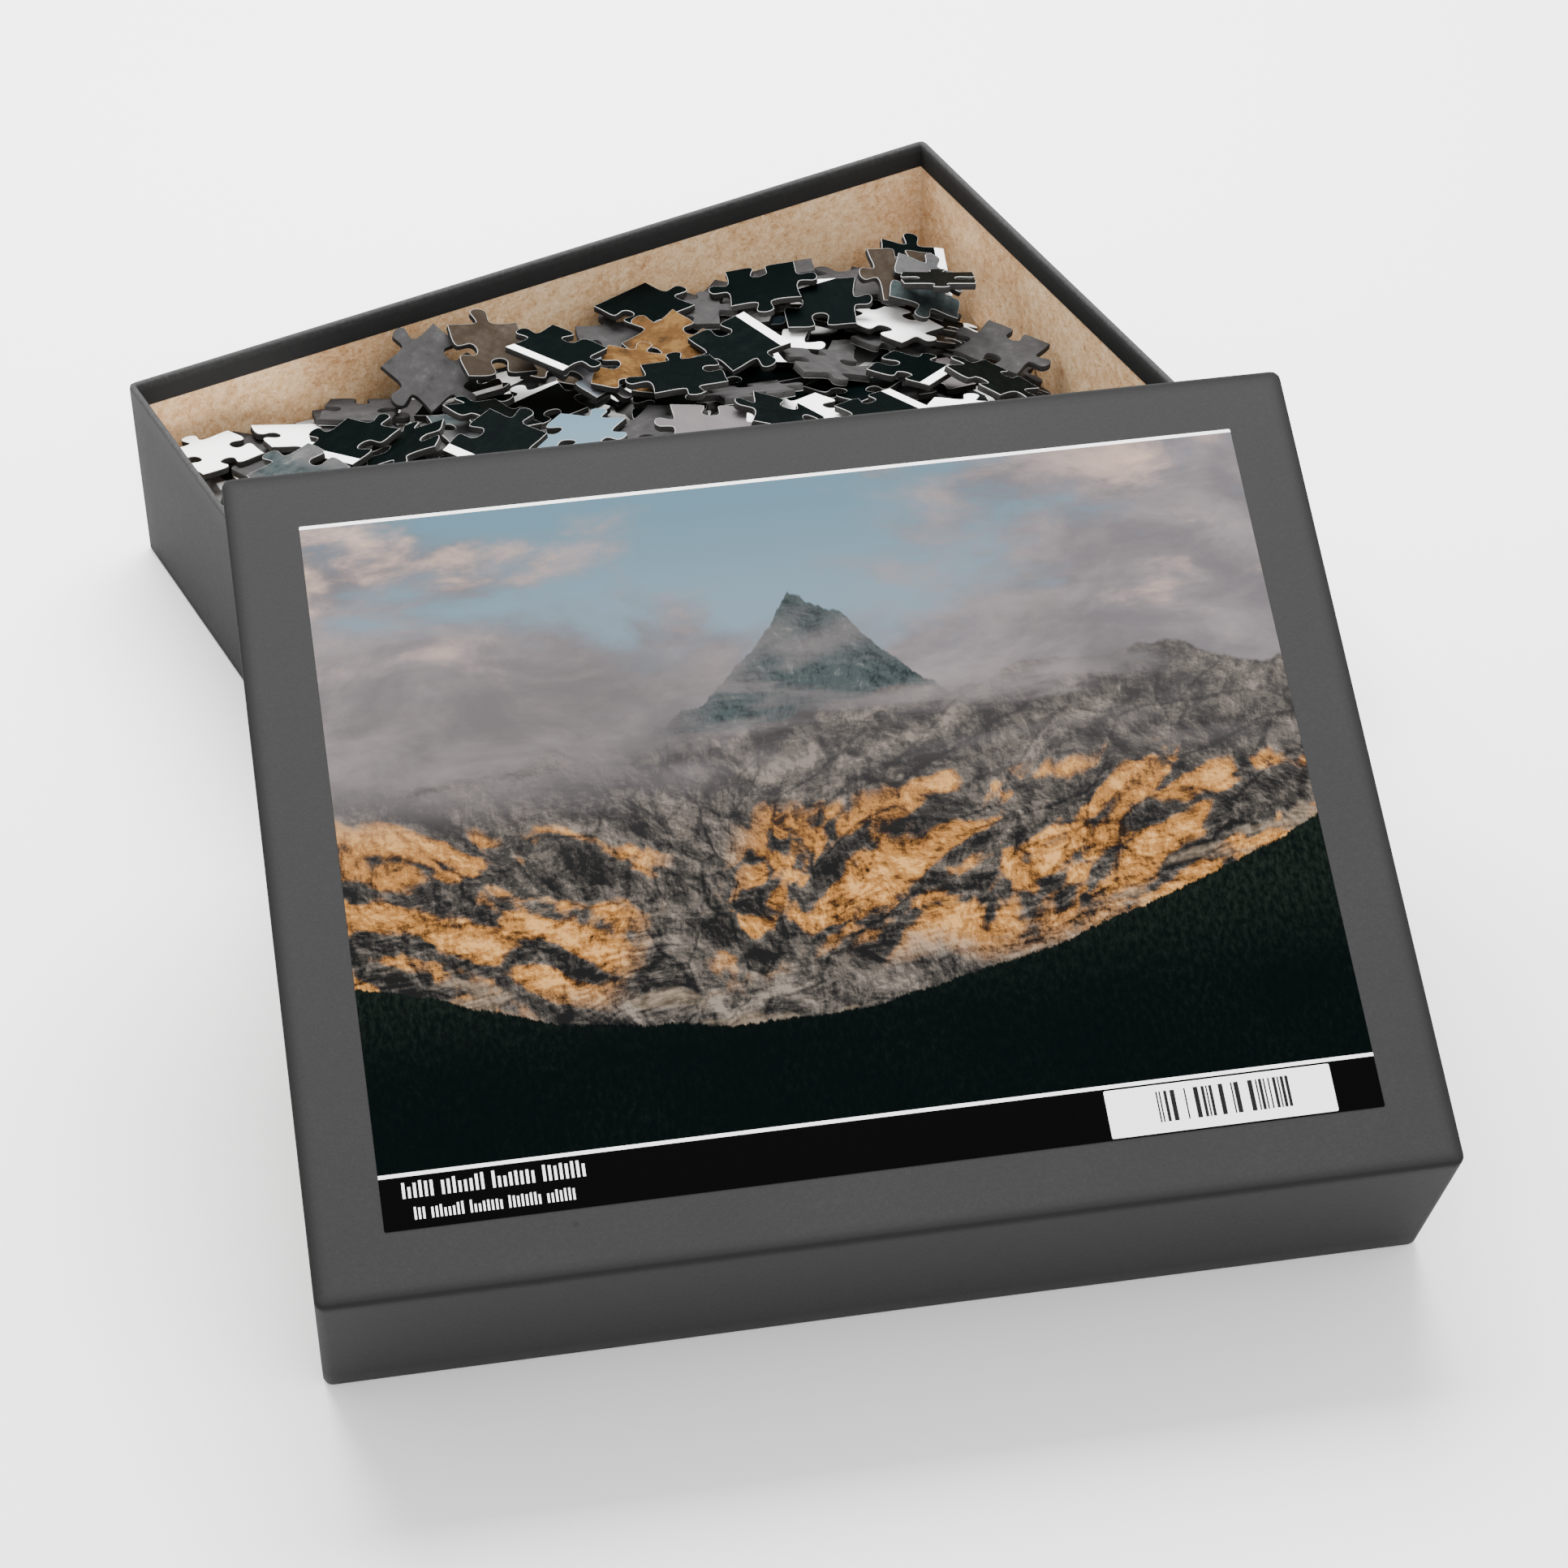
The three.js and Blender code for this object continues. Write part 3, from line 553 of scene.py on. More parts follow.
# ---- meshes
def new_object(name, verts, faces, mats, face_mats=None, uvs=None, values=None, smooth=True):
    """verts in mm. uvs: {layer: per-vertex pairs}; values: {attribute: per-vertex numbers}."""
    mesh = bpy.data.meshes.new(name)
    mesh.from_pydata((np.asarray(verts, float) * MM).tolist(), [], [list(map(int, f)) for f in faces])
    for m in mats:
        mesh.materials.append(MATS[m])
    if face_mats is not None:
        mesh.polygons.foreach_set("material_index", np.asarray(face_mats, np.int32))
    loops = np.empty(len(mesh.loops), np.int32)
    mesh.loops.foreach_get("vertex_index", loops)
    for layer, pairs in (uvs or {}).items():
        mesh.uv_layers.new(name=layer).data.foreach_set("uv", np.asarray(pairs, np.float32)[loops].ravel())
    for key, numbers in (values or {}).items():
        mesh.attributes.new(key, "FLOAT", "POINT").data.foreach_set("value", np.asarray(numbers, np.float32))
    mesh.polygons.foreach_set("use_smooth", np.full(len(mesh.polygons), smooth))
    mesh.update()
    o = bpy.data.objects.new(name, mesh)
    bpy.context.scene.collection.objects.link(o)
    return o


def sharpen(o, degrees=35):
    """Marks edges sharper than this, so that smooth shading stops there."""
    mesh = o.data
    bm = bmesh.new()
    bm.from_mesh(mesh)
    limit = math.radians(degrees)
    for e in bm.edges:
        e.smooth = len(e.link_faces) == 2 and e.calc_face_angle(0) < limit
    bm.to_mesh(mesh)
    bm.free()


def ring(x0, x1, y0, y1, r, arc=6, along=(30, 24)):
    """Points of a rounded rectangle, counter-clockwise, always the same count for the same arc and along."""
    pts = []
    corners = [(x1 - r, y0 + r, -90), (x1 - r, y1 - r, 0), (x0 + r, y1 - r, 90), (x0 + r, y0 + r, 180)]
    for i, (cx, cy, start) in enumerate(corners):
        for k in range(arc + 1):
            t = math.radians(start + 90 * k / arc)
            pts.append((cx + r * math.cos(t), cy + r * math.sin(t)))
        nx, ny, _ = corners[(i + 1) % 4]
        t = math.radians(start + 90)
        a = np.array(pts[-1])
        b = np.array((nx + r * math.cos(t), ny + r * math.sin(t)))
        steps = along[1] if i % 2 == 0 else along[0]
        for k in range(1, steps):
            pts.append(tuple(a + (b - a) * k / steps))
    return np.array(pts)


def bands(n, count):
    """Faces between count rings of n points each, then the two ends."""
    faces = []
    for k in range(count - 1):
        for i in range(n):
            j = (i + 1) % n
            faces.append((k * n + i, k * n + j, (k + 1) * n + j, (k + 1) * n + i))
    return faces + [tuple(reversed(range(n))), tuple(range((count - 1) * n, count * n))]


def shell(size, profile):
    """A body of nested rounded rectangles, filled at its first and last one.
    profile: [(inset, height, corner radius, fold value)]."""
    length, depth = size
    verts, fold = [], []
    for inward, z, r, edge_tone in profile:
        loop = ring(inward, length - inward, inward, depth - inward, max(r, 0.12))
        verts += [(x, y, z) for x, y in loop]
        fold += [edge_tone] * len(loop)
    return np.array(verts, float), bands(len(loop), len(profile)), np.array(fold)


def arc_profile(cx, cz, r, a0, a1, steps, radius_of, edge_tone=0.0):
    out = []
    for k in range(steps + 1):
        t = math.radians(a0 + (a1 - a0) * k / steps)
        inset, z = cx + r * math.cos(t), cz + r * math.sin(t)
        out.append((inset, z, radius_of(inset), edge_tone))
    return out


def wrap_profile(height, turn_in):
    """Paper from the middle of the panel, up the outside, over the rim and down inside; then back under."""
    outer = lambda inset: CORNER_R - inset
    fold, b = 1.1, BOARD + PAPER
    strip = b + PAPER
    half = strip / 2
    prof = [(40, 0, 1.0, 0), (12, 0, 1.0, 0), (4, 0, 1.2, 0)]
    # negative fold values paint shade on the panel beside the fold and on the fold between panel and wall
    prof += [(2.6, 0, 1.2, -0.15)]
    prof += arc_profile(fold, fold, fold, -90, -180, 8, outer, edge_tone=-0.6) + [(0, 2.2, CORNER_R, -0.3)]
    prof += [(0, z, CORNER_R, 0) for z in np.linspace(3.4, height - half, 9)[:-1]]
    # the positive fold value on the rim makes it paler: worn paper together with a painted highlight
    prof += arc_profile(half, height - half, half, 180, 0, 8, lambda i: max(CORNER_R - i, 0.3), edge_tone=0.55)
    end = height - turn_in
    prof += [(strip, height - half - 2, 0.3, 0), (strip, end + 0.15, 0.3, 0), (strip - 0.06, end, 0.3, 0.4),
             (b + 0.02, end, 0.3, 0)]
    prof += [(b + 0.02, height - half - 0.4, 0.3, 0)]
    # the hidden side of the paper, against the board
    prof += [(b - 0.4, height - PAPER, 0.5, 0), (PAPER + 0.4, height - PAPER, 0.5, 0),
             (PAPER, height - PAPER - 0.6, CORNER_R - PAPER, 0)]
    prof += [(PAPER, PAPER + 0.9, CORNER_R - PAPER, 0), (PAPER + 0.9, PAPER, CORNER_R - PAPER - 0.9, 0),
             (40, PAPER, 1.0, 0)]
    return prof


def board_profile(height):
    g = GLUE
    p, b = PAPER + g, BOARD + PAPER
    prof = [(40, p + 0.0, 1.0, 0), (p + 0.9, p, 1.2, 0), (p, p + 0.9, CORNER_R - p, 0),
            (p, height - p - 0.5, CORNER_R - p, 0),
            (p + 0.5, height - p, 1.0, 0), (b - 0.5 - g, height - p, 0.4, 0),
            (b - g, height - p - 0.5, 0.35, 0)]
    prof += [(b - g, z, 0.35, 0) for z in np.linspace(height - 4, b + 0.8, 7)]
    prof += [(b + 0.25, b + 0.2, 0.4, 0), (b + 0.8, b, 0.5, 0), (12, b, 1.0, 0), (40, b, 1.0, 0)]
    return prof


def bow(verts, size, height, seed, amount=0.28):
    """Slight hollow and waviness of long board walls, never outward past the box."""
    rng = np.random.default_rng(seed)
    length, depth = size
    out = verts.copy()
    s = np.clip(verts[:, 2] / height, 0, 1)
    for axis, full, other in ((0, length, depth), (1, depth, length)):
        t = verts[:, 1 - axis] / other
        ripple = np.sin(2 * np.pi * t * (1 + rng.random()) + rng.random() * 6)
        wave = np.sin(np.pi * np.clip(t, 0, 1)) * (0.75 + 0.25 * ripple)
        for side, sign in ((0, 1), (1, -1)):
            d = verts[:, axis] if side == 0 else full - verts[:, axis]
            near = np.clip(1 - d / 6, 0, 1)
            out[:, axis] += sign * amount * wave * s * near * (0.8 + 0.4 * rng.random())
    return out


def lid_matrix():
    a, t = math.radians(LID_YAW), math.radians(LID_TILT)
    rz = np.array([[math.cos(a), -math.sin(a), 0], [math.sin(a), math.cos(a), 0], [0, 0, 1]])
    rx = np.array([[1, 0, 0], [0, math.cos(t), -math.sin(t)], [0, math.sin(t), math.cos(t)]])
    return rz @ rx


def lid_place(verts):
    """From the lid's own frame, foot corner at zero and top panel up, to the row frame."""
    return np.asarray(verts) @ lid_matrix().T + np.array(LID_CORNER)


def overturn(verts):
    v = np.asarray(verts, float).copy()
    v[:, 1] = LID[1] - v[:, 1]
    v[:, 2] = LID[2] - v[:, 2]
    return v


def tray_place(verts):
    return np.asarray(verts) + np.array((-TRAY[0] / 2, -TRAY[1] / 2, 0))


def box_half(prefix, size, height, turn_in, place, body, seed):
    for part, prof, mat in (("wrap", wrap_profile(height, turn_in), "wrap"),
                            ("board", board_profile(height), "kraft")):
        v, f, fold = shell(size, prof)
        v = place(bow(v, size, height, seed))
        o = new_object(f"{prefix}_{part}_folded", v, f, [mat], values={"fold": fold})
        sharpen(o, 50)
        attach(o, body)
        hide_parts(f"{prefix}_{part}")


def thin_sheet(name, rect, z, mat, body, node, radius=0.4):
    """A printed sheet with a softened cut edge on the lid; UV layer 'print' holds metres on the lid."""
    x0, x1, y0, y1, t = rect
    prof = [(0.0, 0.0), (0.0, t - 0.05), (0.05, t), (0.8, t)]
    verts = []
    for inward, h in prof:
        loop = ring(x0 + inward, x1 - inward, y0 + inward, y1 - inward, max(radius - inward, 0.1),
                    arc=3, along=(24, 18))
        verts += [(x, y, z + h) for x, y in loop]
    v = np.array(verts)
    o = new_object(name, lid_place(v), bands(len(loop), len(prof)), [mat], uvs={"print": v[:, :2] * MM})
    sharpen(o, 30)
    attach(o, body)
    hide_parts(node)


box_half("tray", TRAY[:2], TRAY[2], TRAY_TURN_IN, tray_place, "tray", 3)
box_half("lid", LID[:2], LID[2], LID_TURN_IN, lambda v: lid_place(overturn(v)), "lid", 4)
for node in NODES:
    if "corner_tape" in node:
        NODES[node].data.materials.clear()
        NODES[node].data.materials.append(MATS["tape"])
thin_sheet("lid_picture_label", LABEL, LID[2] + GLUE, "label", "lid", "lid_label")
thin_sheet("lid_bar_sticker", STICKER, LID[2] + 2 * GLUE + LABEL[4], "sticker", "lid", "lid_code_sticker")


# ---- jigsaw outlines, cut as the CAD cuts them
def random_from(seed):
    a = (seed * 2654435761) & 0xFFFFFFFF

    def draw():
        nonlocal a
        a = (a + 0x6D2B79F5) & 0xFFFFFFFF
        t = ((a ^ (a >> 15)) * (1 | a)) & 0xFFFFFFFF
        t = ((t + (((t ^ (t >> 7)) * (61 | t)) & 0xFFFFFFFF)) & 0xFFFFFFFF) ^ t
        return ((t ^ (t >> 14)) & 0xFFFFFFFF) / 4294967296
    return draw


def bezier(p0, p1, p2, p3, ts):
    ts = np.asarray(ts)[:, None]
    return ((1 - ts) ** 3 * p0 + 3 * (1 - ts) ** 2 * ts * p1 + 3 * (1 - ts) * ts ** 2 * p2 + ts ** 3 * p3)


def side_curve(start, end, kind, draw, steps):
    if kind == "S":
        return start[None] if steps[0] < 6 else start + (end - start) * (np.arange(8) / 8)[:, None]
    along = end - start
    out = np.array((along[1], -along[0])) * (1 if kind == "T" else -1)
    a, b, c, d, e = [(draw() * 2 - 1) * WAVE for _ in range(5)]
    t = KNOB * (0.94 + 0.14 * draw())
    at = lambda u, v: start + along * u + out * v
    neck_in, neck_out = at(0.5 - t + b, t + c), at(0.5 + t + b, t + c)
    runs = [
        (start, at(0.2, a), at(0.5 + b + d, -t + c), neck_in, steps[0]),
        (neck_in, at(0.5 - 2 * t + b - d, 3 * t + c), at(0.5 + 2 * t + b - d, 3 * t + c), neck_out, steps[1]),
        (neck_out, at(0.5 + b + d, -t + c), at(0.8, e), end, steps[0]),
    ]
    return np.vstack([bezier(p0, p1, p2, p3, np.arange(n) / n) for p0, p1, p2, p3, n in runs])


def piece_outline(sides, draw, steps):
    h = PITCH / 2
    corners = np.array([(-h, -h), (h, -h), (h, h), (-h, h)], float)
    for i, kind in enumerate(sides):
        for k in (i, (i + 1) % 4):
            if kind != "S":
                corners[k, 0 if i % 2 == 0 else 1] += (draw() * 2 - 1) * 0.05 * PITCH * 0.5
    return np.vstack([side_curve(corners[i], corners[(i + 1) % 4], k, draw, steps) for i,
                      k in enumerate(sides)])


def cleaned_loop(node):
    """A CAD piece's upper face: its outline in the face's plane, that plane's axes and its height."""
    mesh = node.data
    pts = np.array([v.co for v in mesh.vertices]) / MM
    keys, index = {}, []
    for p in pts:
        k = tuple(np.round(p, 3))
        index.append(keys.setdefault(k, len(keys)))
    verts = np.array(list(keys))
    polys = [[index[i] for i in p.vertices] for p in mesh.polygons]
    normals = np.array([p.normal for p in mesh.polygons])
    areas = np.array([p.area for p in mesh.polygons])
    n = normals[areas.argmax()].astype(float)
    n = n if n[2] > 0 else -n
    edges = {}
    for k, poly in enumerate(polys):
        if normals[k] @ n < 0.999:
            continue
        for a, b in zip(poly, poly[1:] + poly[:1]):
            if a == b:
                continue
            if (b, a) in edges:
                del edges[(b, a)]
            else:
                edges[(a, b)] = True
    follow = dict(edges.keys())
    start = next(iter(follow))
    loop, c = [start], follow[start]
    while c != start:
        loop.append(c)
        c = follow[c]
    n /= np.linalg.norm(n)
    ex = np.cross((0, 1, 0), n)
    ex /= np.linalg.norm(ex)
    ey = np.cross(n, ex)
    outline = verts[loop]
    return np.c_[outline @ ex, outline @ ey], (ex, ey, n), float(np.mean(outline @ n))


def square_error(q):
    d = [np.linalg.norm(q[i] - q[(i + 1) % 4]) - PITCH for i in range(4)]
    e = [np.linalg.norm(q[i] - q[i + 2]) - PITCH * math.sqrt(2) for i in range(2)]
    return sum(v * v for v in d + e)


def corners_first(flat):
    """Turns the outline to start at a corner. Returns it, the corners' places, and which side is straight."""
    step = np.linalg.norm(np.roll(flat, -1, 0) - flat, axis=1)
    count = len(flat)
    if step.max() > 15:
        flat = np.roll(flat, -(int(step.argmax()) + 1), 0)
        choices = [(0, i, j, count - 1) for i in (13, 14, 15) for j in (26, 27, 28, 29)]
        return flat, min(choices, key=lambda c: square_error(flat[list(c)])), 3
    choices = [(i, i + a, i + a + b,
                i + a + b + c) for i in range(14) for a in (13, 14) for b in (13, 14) for c in (13, 14)]
    best = min(choices, key=lambda c: square_error(flat[np.array(c) % count]))
    return np.roll(flat, -best[0], 0), tuple(k - best[0] for k in best), None


def smooth_run(pts, parts=2):
    """Catmull-Rom curve through a run of points, without its last point."""
    p = np.vstack([2 * pts[0] - pts[1], pts, 2 * pts[-1] - pts[-2]])
    out = []
    for i in range(1, len(p) - 2):
        for k in range(parts):
            t = k / parts
            a, b, c, d = p[i - 1:i + 3]
            square, cube = 2 * a - 5 * b + 4 * c - d, 3 * b - a - 3 * c + d
            out.append(0.5 * (2 * b + (c - a) * t + square * t * t + cube * t ** 3))
    return np.array(out)


def smooth_outline(flat, corners, straight):
    runs = []
    closed = np.vstack([flat, flat[:1]])
    ends = corners[1:] + (len(flat),)
    for side, (i, j) in enumerate(zip(corners, ends)):
        run = closed[i:j + 1]
        if side == straight:
            runs.append(run[0] + (run[-1] - run[0]) * (np.arange(8) / 8)[:, None])
        else:
            runs.append(smooth_run(run))
    return np.vstack(runs)


def inset(flat, amount):
    """Moves each point of a counter-clockwise outline inward."""
    before, after = flat - np.roll(flat, 1, 0), np.roll(flat, -1, 0) - flat
    before /= np.linalg.norm(before, axis=1, keepdims=True) + 1e-9
    after /= np.linalg.norm(after, axis=1, keepdims=True) + 1e-9
    t = before + after
    t /= np.linalg.norm(t, axis=1, keepdims=True) + 1e-9
    return flat + np.c_[-t[:, 1], t[:, 0]] * amount


RIM = 0.08                                        # bare paper showing where the die pressed through the print
#        inset, depth below the printed face, rim value, material of the band that follows
PIECE_RINGS = [
    (RIM + 0.05, 0.0, 0.0, 0), (RIM, 0.0, 1.0, 0), (0.06, 0.03, 1.0, 0), (0.0, 0.12, 1.0, 2),
    (0.02, 0.4, 0.0, 2), (0.0, PIECE_T - 0.14, 0.0, 1), (0.1, PIECE_T - 0.01, 0.0, 1), (0.5, PIECE_T, 0.0, 1),
]


def piece_parts(flat, print_up):
    """Rings and faces of one die-cut piece, z from 0 to PIECE_T, printed face up or down.
    Materials: 0 print, 1 back, 2 edge."""
    n = len(flat)
    verts, faces, mats, rim = [], [], [], []
    for inward, depth, edge_tone, _ in PIECE_RINGS:
        z = PIECE_T - depth if print_up else depth
        p = inset(flat, inward) if inward > 0 else flat
        verts.append(np.c_[p, np.full(n, z)])
        rim += [edge_tone] * n
    for k in range(len(PIECE_RINGS) - 1):
        for i in range(n):
            j = (i + 1) % n
            quad = (k * n + i, (k + 1) * n + i, (k + 1) * n + j, k * n + j)
            faces.append(quad if print_up else quad[::-1])
            mats.append(PIECE_RINGS[k][3])
    first, last = tuple(range(n)), tuple(range((len(PIECE_RINGS) - 1) * n, len(PIECE_RINGS) * n))
    faces += [first, last[::-1]] if print_up else [first[::-1], last]
    mats += [0, 1]
    return np.vstack(verts), faces, mats, np.array(rim)


# where on the picture the prints of each kind are cut from: middle of the area and half its size
AREAS = {
    "forest": ((0.62, 0.055), (0.5, 0.04)),
    "teal": ((0.62, 0.68), (0.03, 0.025)),
    "rock": ((0.9, 0.57), (0.2, 0.03)),
    "sunlit": ((0.68, 0.35), (0.04, 0.03)),
    "cloud": ((0.2, 0.7), (0.15, 0.05)),
    "sky": ((0.6, 0.93), (0.35, 0.05)),
    "white": ((0.6, -0.5), (0.1, 0.1)),
}
PRINT_SIZE = 406.4                                  # height of the finished picture in mm
SLOT_LOOK = {"print_forest": "forest", "print_teal": "teal", "print_rock": "rock", "print_sunlit": "sunlit",
             "print_cloud": "cloud", "print_sky": "sky", "print_white": "white", "piece_back": "forest"}
MARGIN_PIECES = ("border_right_far", "border_middle", "border_diagonal", "border_front", "border_left_upper",
                 "border_left_mid", "border_left_low", "border_left_corner")
MARGIN = 3.0
DUSK = {"rock": 0.72,
        "sunlit": 0.78}                # how far these prints go towards the dark brown of the shaded slopes


def print_uv(flat, look, rng, turn=None):
    centre, half = (np.array(v) for v in AREAS[look])
    at = centre + half * (rng.random(2) * 2 - 1)
    turn = rng.random() * 2 * math.pi if turn is None else turn
    c, s = math.cos(turn), math.sin(turn)
    return at + (flat @ np.array([[c, s], [-s, c]])) / PRINT_SIZE


def margin_uv(flat, corners, rng):
    """The piece's straight side lies on the puzzle's lower edge, so a white strip shows along it."""
    a, b = flat[corners[3]], flat[corners[0]]
    along = (b - a) / np.linalg.norm(b - a)
    inward = np.array((-along[1], along[0]))
    u = 0.25 + rng.random() * 0.7
    return lambda p: np.c_[u + ((p - a) @ along) / PRINT_SIZE, ((p - a) @ inward - MARGIN) / PRINT_SIZE]


record_slots = {s["node"]: s["material_slot"] for s in frame["record"]["subparts"]}
# outlines of the named pieces and the planes of their undersides
ceiling_pieces = []


def dress_named_piece(name):
    node = NODES[name]
    slot_name = record_slots[name]
    flat, (ex, ey, n), height = cleaned_loop(node)
    area = 0.5 * np.sum(flat[:, 0] * np.roll(flat[:, 1], -1) - np.roll(flat[:, 0], -1) * flat[:, 1])
    flat = flat if area > 0 else flat[::-1]
    flat, corners, straight = corners_first(flat)
    fine = smooth_outline(flat, corners, straight)
    rng = np.random.default_rng(sum(ord(c) * (i + 3) for i, c in enumerate(name)))
    print_up = slot_name != "piece_back"
    verts, faces, mats, rim = piece_parts(fine, print_up)
    short = name.removeprefix("piece_")
    if short in MARGIN_PIECES:
        uv = margin_uv(flat, corners, rng)(verts[:, :2])
    else:
        middle = fine.mean(0)
        uv = print_uv(verts[:, :2] - middle, SLOT_LOOK[slot_name], rng)
    base = verts[:, :1] * ex + verts[:, 1:2] * ey + (verts[:, 2:3] + height - PIECE_T) * n
    dusk = np.full(len(base), DUSK.get(SLOT_LOOK[slot_name], 0.0))
    o = new_object(f"{short}_cut", base, faces, ["print", "back", "edge"], mats, {"print": uv},
                   {"rim": rim, "dusk": dusk})
    sharpen(o, 40)
    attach(o, node["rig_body"])
    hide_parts(name)
    world = fine[:, :1] * ex + fine[:, 1:2] * ey + (height - PIECE_T) * n
    ceiling_pieces.append((world[:, :2] + 0, n, float(world[0] @ n)))


for name in sorted(n for n in NODES if n.startswith("piece_")):
    dress_named_piece(name)


# ---- the heap: loose pieces, let down one by one
CELL = 1.25                                         # spacing of the height map's points
RISE = 3.4                                          # how far a loose piece may stand above the heap's surface
UNDER_GAP = 0.35                                    # air left below a named piece
LEAST_ROOM = 2.6                                    # free height a spot needs before a piece is tried there
STEEPEST = 0.6                                      # largest squared slope at which a piece stays put
WALL_GAP = 0.5
BED_DEPTH, CORE_DEPTH = 5.2, 6.0                    # where the loose pieces start, and the core's top


def heap_top(x, y):
    a = math.radians(-LID_YAW)
    s = (x + 147.2) * math.sin(a) + (y + 27.3) * math.cos(a)
    z = 77 - 0.43 * s + 0.0009 * s * s
    z = z - 16 * (np.clip(x - 85, 0, None) / 38) ** 1.5
    wall = 50 + 0.75 * np.clip(np.minimum(x + INNER[0] / 2, y + INNER[1] / 2), 0, None)
    return np.minimum(np.minimum(z, wall), 77)


def inside_outline(px, py, poly):
    hit = np.zeros(px.shape, bool)
    for (x0, y0), (x1, y1) in zip(poly, np.roll(poly, -1, 0)):
        cross = ((y0 > py) != (y1 > py)) & (px < (x1 - x0) * (py - y0) / (y1 - y0 + 1e-12) + x0)
        hit ^= cross
    return hit


def cells_near(poly, grow):
    lo = np.floor((poly.min(0) - grow + np.array(INNER) / 2) / CELL).astype(int)
    hi = np.ceil((poly.max(0) + grow + np.array(INNER) / 2) / CELL).astype(int) + 1
    return lo, hi


def lay_heap(seed, trials, bed_depth):
    rng = np.random.default_rng(seed)
    nx, ny = int(INNER[0] / CELL) + 1, int(INNER[1] / CELL) + 1
    gx, gy = np.meshgrid(np.arange(nx) * CELL - INNER[0] / 2, np.arange(ny) * CELL - INNER[1] / 2,
                         indexing="ij")
    top = heap_top(gx, gy)
    level = top - bed_depth
    cap = top + RISE
    for poly, n, d in ceiling_pieces:
        lo, hi = cells_near(poly, 2)
        lo, hi = np.maximum(lo, 0), np.minimum(hi, (nx, ny))
        sx, sy = gx[lo[0]:hi[0], lo[1]:hi[1]], gy[lo[0]:hi[0], lo[1]:hi[1]]
        near = np.zeros(sx.shape, bool)
        for dx, dy in ((0, 0), (1.1, 0), (-1.1, 0), (0, 1.1), (0, -1.1), (0.8, 0.8), (-0.8, -0.8),
                       (0.8, -0.8), (-0.8, 0.8)):
            near |= inside_outline(sx + dx, sy + dy, poly)
        under = (d - n[0] * sx - n[1] * sy) / n[2] - UNDER_GAP
        view = cap[lo[0]:hi[0], lo[1]:hi[1]]
        view[near] = np.minimum(view[near], under[near])
    placed = []
    shapes = []
    for k in range(40):
        draw = random_from(9000 + k)
        sides = ["TB"[int(draw() * 2) % 2] for _ in range(4)]
        if k % 8 == 0:
            sides[1] = "S"
        shapes.append((piece_outline(sides, draw, (7, 12)), sides))
    slopes = np.linspace(-0.6, 0.6, 7)
    half = np.array(INNER) / 2
    ring_at = np.array([(r * math.cos(t),
                         r * math.sin(t)) for r in (5, 9.5) for t in np.arange(8) * math.pi / 4])
    ring_at = np.vstack([ring_at, (0, 0)])
    for _ in range(trials):
        options = (rng.random((60, 2)) * 2 - 1) * (half - 10)
        probes = options[:, None] + ring_at[None]
        ii = np.clip(((probes + half) / CELL).round().astype(int), 0, (nx - 1, ny - 1))
        room = np.partition(cap[ii[..., 0], ii[..., 1]] - level[ii[..., 0], ii[..., 1]], 3, axis=1)[:, 3]
        roomy = np.flatnonzero(room > LEAST_ROOM)
        if len(roomy) == 0:
            continue
        at = options[roomy[rng.integers(len(roomy))]]
        shape, sides = shapes[rng.integers(len(shapes))]
        turn = rng.random() * 2 * math.pi
        c, s = math.cos(turn), math.sin(turn)
        poly = shape @ np.array([[c, s], [-s, c]]) + at
        if (np.abs(poly) > half - WALL_GAP).any():
            continue
        lo, hi = cells_near(poly, 0)
        lo, hi = np.maximum(lo, 0), np.minimum(hi, (nx, ny))
        here = np.s_[lo[0]:hi[0], lo[1]:hi[1]]
        hit = inside_outline(gx[here], gy[here], poly[::2])
        px, py, h, roof = gx[here][hit] - at[0], gy[here][hit] - at[1], level[here][hit], cap[here][hit]
        a = b = 0.0
        span = 1.0
        for _ in range(4):
            grid_a, grid_b = np.meshgrid(a + slopes * span, b + slopes * span)
            lift = (h[None] - grid_a.reshape(-1, 1) * px - grid_b.reshape(-1, 1) * py).max(1)
            best = lift.argmin()
            a, b, span = grid_a.ravel()[best], grid_b.ravel()[best], span * 0.33
        if a * a + b * b > STEEPEST:
            continue
        base = (h - a * px - b * py).max() + 0.03
        rise = PIECE_T * math.sqrt(1 + a * a + b * b)
        surface = base + a * px + b * py + rise
        if (surface > roof).any():
            continue
        level[here][hit] = surface
        placed.append((shape, sides, at, turn, a, b, base))
    return placed


LOOK_SHARES = [("forest", 0.25), ("back", 0.3), ("white", 0.27), ("rock", 0.04), ("sunlit", 0.04),
               ("cloud", 0.05),
               ("sky", 0.03), ("teal", 0.02)]


